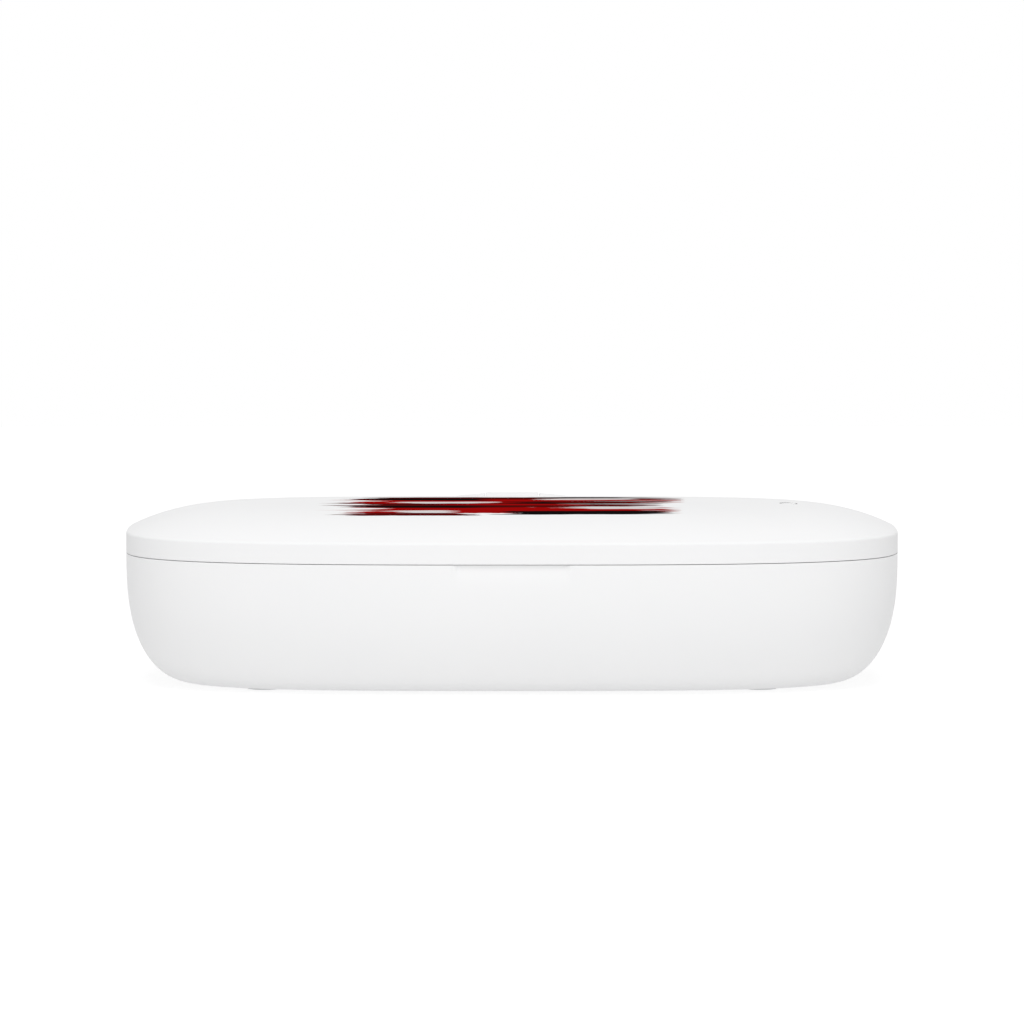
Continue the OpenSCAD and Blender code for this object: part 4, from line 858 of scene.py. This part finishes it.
# Rings of the lid from the middle of its inside, down round the lip and up over the crown to the middle
def lidRings():
    s = lidShape
    low, edge, wall, cut = case["lidZ"], case["lipEdge"], case["wall"], lidShape["shoulder"]
    insets = np.concatenate([[cut], s["crownWide"] * (1 - (1 - np.linspace(0.03, 1, 44)) ** 1.25)])
    crown = np.stack([insets, case["edgeZ"] + crownRise(insets)], -1)
    crown = crown[np.concatenate([[True], insets[1:] > cut + 0.2])]
    side = np.stack([np.zeros(5), np.linspace(low + edge, case["edgeZ"] - cut, 5)], -1)
    shoulder = softCorner(side[-1], (0, case["edgeZ"]), crown[0], 7)
    lip = softCorner((edge, low), (0, low), (0, low + edge), 3)
    inLip = softCorner((wall, low + edge), (wall, low), (wall - edge, low), 3)
    inInset = wall + (s["crownWide"] - wall) * (1 - (1 - np.linspace(0, 1, 16)) ** 1.5)
    inner = np.stack([inInset, case["edgeZ"] + crownRise(inInset) - wall], -1)[::-1]
    rows = np.array(caseRings(np.concatenate([inner, inLip, lip, side[1:-1], shoulder, crown[1:]])))
    inwards = np.ones((6, 4))
    inwards[:, :2] = np.linspace(1, 0.02, 7)[1:, None]
    return np.concatenate([(rows[0] * inwards)[::-1], rows, rows[-1] * inwards])


# Notch for the hinge, from under the rim to above the crown. It widens a little where it meets each of them.
def hingeNotch():
    outline = roundedBox((-8, 8), (55.45, 72), 1.0, 6)
    crownAt = crownHeight(outline[:, 0], np.minimum(outline[:, 1], 60.3))
    low = case["lidZ"]
    rings = [(35.0, 0.5), (low - 0.1, 0.28), (low + 0.05, 0.12), (low + 0.2, 0.0)]
    aboveCrown = ((-0.4, 0.0), (-0.18, 0.05), (-0.02, 0.17), (0.12, 0.35), (6, 0.5))
    rings += [(crownAt + rise, grow) for rise, grow in aboveCrown]
    normals = outlineNormals(outline)
    return np.stack([np.column_stack([outline + grow * normals, np.broadcast_to(z, len(outline))])
                     for z, grow in rings])


# Bores along the hinge for the pin and the lead, and the lead's way down into the lid, at 45 degrees
def hingeBores():
    s = lidShape
    r = s["leadR"]
    pin = drum(s["pinR"], -s["pinReach"], s["pinReach"], count=40)[..., [2, 0, 1]]
    lead = drum(r, 0, s["leadEnd"], count=24)[..., [2, 0, 1]]
    out = drum(r, 0, 6.5, count=24)
    slant = math.sqrt(0.5) * np.stack([out[..., 1] - out[..., 2], -out[..., 1] - out[..., 2]], -1)
    out = np.concatenate([out[..., :1] + s["leadX"], slant], -1)
    return [grid + [0, s["hingeY"], s["hingeZ"]] for grid in (pin, lead, out)]


def lidScrewPlaces():
    endX, x = case["halfWidth"] - case["wall"] - 9, lidShape["screwX"]
    sideY = (chamberShape["size"][1] - lidShape["linerIn"] + rimY(x)) / 2 - 0.6
    return [(-endX, 0), (endX, 0)] + fourPlaces(x, sideY)


def makeLidShell():
    s, place = lidShape, (button["x"], button["y"])
    lid = makePiece("lidShell", [ringSurface(lidRings(), caseTurns())])
    pocket = [(53.85, 38.25), (58.96, 38.25), (58.96, 43.0), (53.85, float(crownHeight(0, 53.85)) - 0.8)]
    adds = [carried(pocket, [(-9.6, 0), (9.6, 0)], "x")]
    for x, y in lidScrewPlaces():
        adds.append(turnedSolid([(2.6, 39.9), (2.8, 40.1), (2.8, float(crownHeight(x, y)) - 1.1)], (x, y)))
    carve(lid, adds, "UNION")
    carve(lid, [hingeNotch()])
    carve(lid, [knuckleGrid(side) for side in (1, -1)], "UNION")
    top = float(crownHeight(*place))
    hole = [(2.55, s["underZ"]), (2.55, top - 0.16), (2.58, top - 0.08), (2.65, top), (2.8, top + 0.14), (2.8, 60)]
    cuts = hingeBores() + [turnedSolid(hole, place, 64)]
    cuts += [drum(1.22, 38.2, 44.25, screw, 20) for screw in lidScrewPlaces()]
    carve(lid, cuts)
    handOver(lid, "lidPrinted", "lid", "lid_shell")


# Liner under the lid: a flange whose middle is drawn up into a shallow hollow.
# Hollow rings: in = 0.5 + r (1 - cos t), height = ceiling - r (1 - sin t)
def makeLiner():
    s, c = lidShape, chamberShape
    low, power, thick, ceiling, above = case["linerZ"], c["power"], s["linerThick"], s["ceilingZ"], s["underZ"]
    a, b = (half - s["linerIn"] for half in c["size"])
    top = low + case["flange"]
    t = np.linspace(0, np.pi / 2, 9)
    hollow = np.stack([-0.5 - 3 * (1 - np.cos(t)), ceiling - 3 * (1 - np.sin(t))], -1)
    mouth = softCorner((0.6, low), (0.05, low), (-0.05, low + 0.55), 5)
    cover = np.stack([thick - 0.5 - 3.75 * (1 - np.cos(t)), above - 3.75 * (1 - np.sin(t))], -1)
    rows = [[1.0, 0.5, power, ceiling]] + ringsOf((a, b), power, np.concatenate([hollow[::-1], mouth[::-1]]))
    rows += ringsOf(c["outer"], case["power"], [(-0.25, low), (-0.07, low + 0.07), (0, low + 0.25), (0, top)])
    rows += ringsOf((a, b), power, [(thick, top), *cover]) + [[1.0, 0.5, power, above]]
    liner = makePiece("lidLiner", [ringSurface(rows, evenTurns(a, b, power, 1.6))])
    lamps = fourPlaces(c["lampX"], s["lampY"])
    magnets = [(sx * case["magnet"][0], case["magnet"][1]) for sx in sides]
    carve(liner, [drum(7.3, 43.65, 45.55, place, 48) for place in lamps]
          + [drum(3.7, 39.15, 41.45, place) for place in magnets], "UNION")
    lampHole = [(6.25, 41), (6.25, 42.6), (6.05, 42.8), (6.05, 43.65), (4.6, 43.65), (4.6, 47)]
    screwHole = [(2.5, low - 1), (2.4, low), (1.35, low + 1.1), (1.35, low + 3)]
    cuts = [turnedSolid(lampHole, place, 56) for place in lamps]
    cuts += [drum(2.75, low + 0.4, 43, place) for place in magnets]
    cuts += [turnedSolid(screwHole, place, 40) for place in lidScrewPlaces()]
    cuts += [boxGrid((-x, x), (y, 75), (low - 1, low + 8), 0.5) for x, y in ((9.9, 53.55), (18.85, 56.2))]
    carve(liner, cuts)
    handOver(liner, "metallised", "lid", "lid_liner")


makeLidShell()
makeLiner()
print("lid made")

# ---- hinge and button ----

hingeShape = {
    "barrelR": 4.2, "halfLong": 7.65, "back": 62.2, "front": 55.8, "footY": 54.3, "towerZ": 30.0, "soft": 0.3,
    "pinR": 2.05, "leadR": 1.3, "leadY": 59.2, "leadZ": 33.0,
}


# Hinge tower with its barrel: the outline of a post that widens into a circle of radius r at the pin,
# carried along X and drawn in by r(1 - cos t) at both ends
def makeHingeBracket():
    h, y0, z0 = hingeShape, lidShape["hingeY"], lidShape["hingeZ"]
    t = np.linspace(-math.acos((h["back"] - y0) / h["barrelR"]), math.pi, 40)
    barrel = np.stack([y0 + h["barrelR"] * np.cos(t), z0 + h["barrelR"] * np.sin(t)], -1)
    post = [[h["front"], 40.5], [h["front"], 36], [h["front"], 33.35], [h["footY"], h["towerZ"]],
            [57, h["towerZ"]], [60.4, h["towerZ"]], [61.4, 32.2], [h["back"], 34.4], [h["back"], 37.5]]
    soft, half = h["soft"], h["halfLong"]
    left = [(-half + soft * (1 - math.sin(a)), -soft * (1 - math.cos(a))) for a in np.linspace(np.pi / 2, 0, 5)]
    stations = left + [(-x, grow) for x, grow in left[::-1]]
    tower = makePiece("hingeBracket", [carried(np.concatenate([barrel, post]), stations, "x")])
    plate = roundedBox((-15, 15), (23, 34), 1.2)
    plateStations = [(53.8, -0.25), (53.87, -0.07), (54.05, 0), (55.8, 0), (56.0, -0.2)]
    carve(tower, [carried(plate, plateStations, "y")], "UNION")
    r, leadY, leadZ = h["leadR"], h["leadY"], h["leadZ"]
    screwX, screwZ = baseShape["bracketScrew"]
    cuts = [drum(h["pinR"], -16, 16, count=40)[..., [2, 0, 1]] + [0, y0, z0], drum(r, leadZ, z0, (0, leadY), 24),
            drum(r, 0, 20, count=24)[..., [0, 2, 1]] * [1, -1, 1] + [0, leadY, leadZ]]
    cuts += [drum(1.2, 0, 4.2, count=24)[..., [0, 2, 1]] + [sx * screwX, 52.8, screwZ] for sx in sides]
    carve(tower, cuts)
    handOver(tower, "hingeWhite", "base", "hinge_bracket")


# Start button: a cap with a rounded edge and a shallow dish on top of its flange
def makeButton():
    place = (button["x"], button["y"])
    top = float(crownHeight(*place)) - 0.05
    flange = top - 3.2
    path = [(0, flange), (3.05, flange), (3.2, flange + 0.15), (3.2, flange + 0.65), (3.05, flange + 0.8),
            (2.2, flange + 0.8), (2.2, top - 0.12), (button["capR"], top - 0.04), (2.1, top), (1.9, top),
            (1.5, top - 0.05), (0.9, top - 0.09), (0, top - 0.1)]
    cap = makePiece("startButton", [turned(path, place, 64)])
    handOver(cap, "buttonWhite", "button", "start_button")


coil = {"inner": 10.0, "turns": 12, "steps": 8, "depth": 0.32, "low": 46.77, "high": 48.37}


# Flat coil of round turns, 1 mm apart, side by side: a turn's face lies depth * (1 - sqrt(1 - (2f - 1)^2)) in,
# where f is the share of the turn that is passed
def makeCoil():
    r = np.linspace(coil["inner"], coil["inner"] + coil["turns"], coil["turns"] * coil["steps"] + 1)
    passed = (r - coil["inner"]) % 1.0
    ripple = coil["depth"] * (1 - np.sqrt(np.clip(1 - (2 * passed - 1) ** 2, 0, 1)))
    top = np.stack([r, coil["high"] - ripple], -1)
    bottom = np.stack([r, coil["low"] + ripple], -1)[::-1]
    winding = makePiece("chargingCoil", [turned(np.concatenate([top, bottom]), (0, 0), 96)], closedRows=True)
    handOver(winding, "copper", "lid", "charging_coil")


makeHingeBracket()
makeButton()
makeCoil()
print("hinge, button and coil made")

# ---- finishes of the pieces that keep their own meshes ----

nodeFinishes = {
    "quartz": "floor_windows lid_windows", "lampGold": "floor_leds lid_leds",
    "whiteBoard": "floor_led_boards lid_led_boards",
    "greenBoard": "main_board usb_board charging_board button_board",
    "chipBlack": "controller_chip usb_c_tongue hall_sensor charging_chips tact_switch switch_plunger",
    "ferrite": "power_inductor ferrite_sheet", "capacitor": "capacitors", "ivoryPlug": "board_connectors",
    "screwSteel": "board_screws base_screws hinge_bracket_screws lid_screws",
    "drawnSteel": "usb_c_port hinge_pin hinge_bush", "magnetNickel": "base_magnets lid_magnets",
    "cableBlack": "base_cable lid_cable", "wireRed": "base_wires lid_wires", "hingeWhite": "coil_carrier",
    "lampBlue": "status_led",
}
for finishName, nodeNames in nodeFinishes.items():
    for nodeName in nodeNames.split():
        dress(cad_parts[nodeName].data, finishName, 32)
print("finishes given to the other pieces")

# ---- stage ----

stageLook = {
    "worldStrength": 0.66, "floorColour": (0.34, 0.34, 0.34), "floorGlow": 0.56, "floorSeen": 0.16,
    "floorSize": 2.4,
    # name, place (m), aim (m), size (m), power (W)
    "lights": [
        ("above", (0.0, -1.15, 2.9), (0.0, -0.05, 0.03), 1.9, 36.0),
        ("front", (0.0, -1.33, 0.3), (0.0, -0.05, 0.03), 0.7, 3.0),
    ],
    "camera": {"place": (0.0, -2.24645, 0.20768), "pitch": 0.071, "lens": 276.55},
}


# 1 for rays that show a surface: from the camera, off a gloss or through a clear piece
def seenRays(tree):
    path = tree.nodes.new("ShaderNodeLightPath").outputs
    return mathNode(tree, "MAXIMUM", path["Is Camera Ray"],
                    mathNode(tree, "MAXIMUM", path["Is Glossy Ray"], path["Is Transmission Ray"]))


def makeFloor():
    half = stageLook["floorSize"] / 2
    mesh = bpy.data.meshes.new("floor")
    mesh.from_pydata([(-half, -half, 0), (half, -half, 0), (half, half, 0), (-half, half, 0)], [], [(0, 1, 2, 3)])
    floor = addObject("floor", mesh)
    material, tree, shader = newMaterial("floorWhite")
    shader.inputs["Base Color"].default_value = (*stageLook["floorColour"], 1)
    shader.inputs["Roughness"].default_value = 0.9
    shader.inputs["Specular IOR Level"].default_value = 0.1
    shader.inputs["Emission Color"].default_value = (1, 1, 1, 1)
    glow = mathNode(tree, "MULTIPLY_ADD", seenRays(tree), stageLook["floorSeen"], stageLook["floorGlow"])
    tree.links.new(glow, shader.inputs["Emission Strength"])
    mesh.materials.append(material)


def makeWorld():
    world = bpy.data.worlds.new("studio")
    bpy.context.scene.world = world
    world.use_nodes = True
    tree = world.node_tree
    background = tree.nodes["Background"]
    background.inputs["Color"].default_value = (1, 1, 1, 1)
    strength = addNode(tree, "ShaderNodeMix", {"data_type": "FLOAT"}, _0=seenRays(tree),
                       _2=stageLook["worldStrength"], _3=1.0)
    tree.links.new(strength.outputs[0], background.inputs["Strength"])


def makeLights():
    for name, place, aim, size, power in stageLook["lights"]:
        lamp = bpy.data.lights.new(name, "AREA")
        lamp.shape = "SQUARE"
        lamp.size = size
        lamp.energy = power
        light = addObject(name, lamp)
        light.location = place
        light.rotation_euler = (Vector(aim) - Vector(place)).to_track_quat("-Z", "Y").to_euler()
        light.visible_camera = False


def makeCamera():
    look = stageLook["camera"]
    data = bpy.data.cameras.new("camera")
    data.lens = look["lens"]
    data.sensor_width = 36
    data.clip_start = 0.05
    data.clip_end = 100
    camera = addObject("camera", data)
    camera.location = look["place"]
    camera.rotation_euler = (math.pi / 2 - look["pitch"], 0, 0)
    bpy.context.scene.camera = camera


makeFloor()
makeWorld()
makeLights()
makeCamera()
bpy.context.scene.view_settings.view_transform = "Standard"
print("stage made")
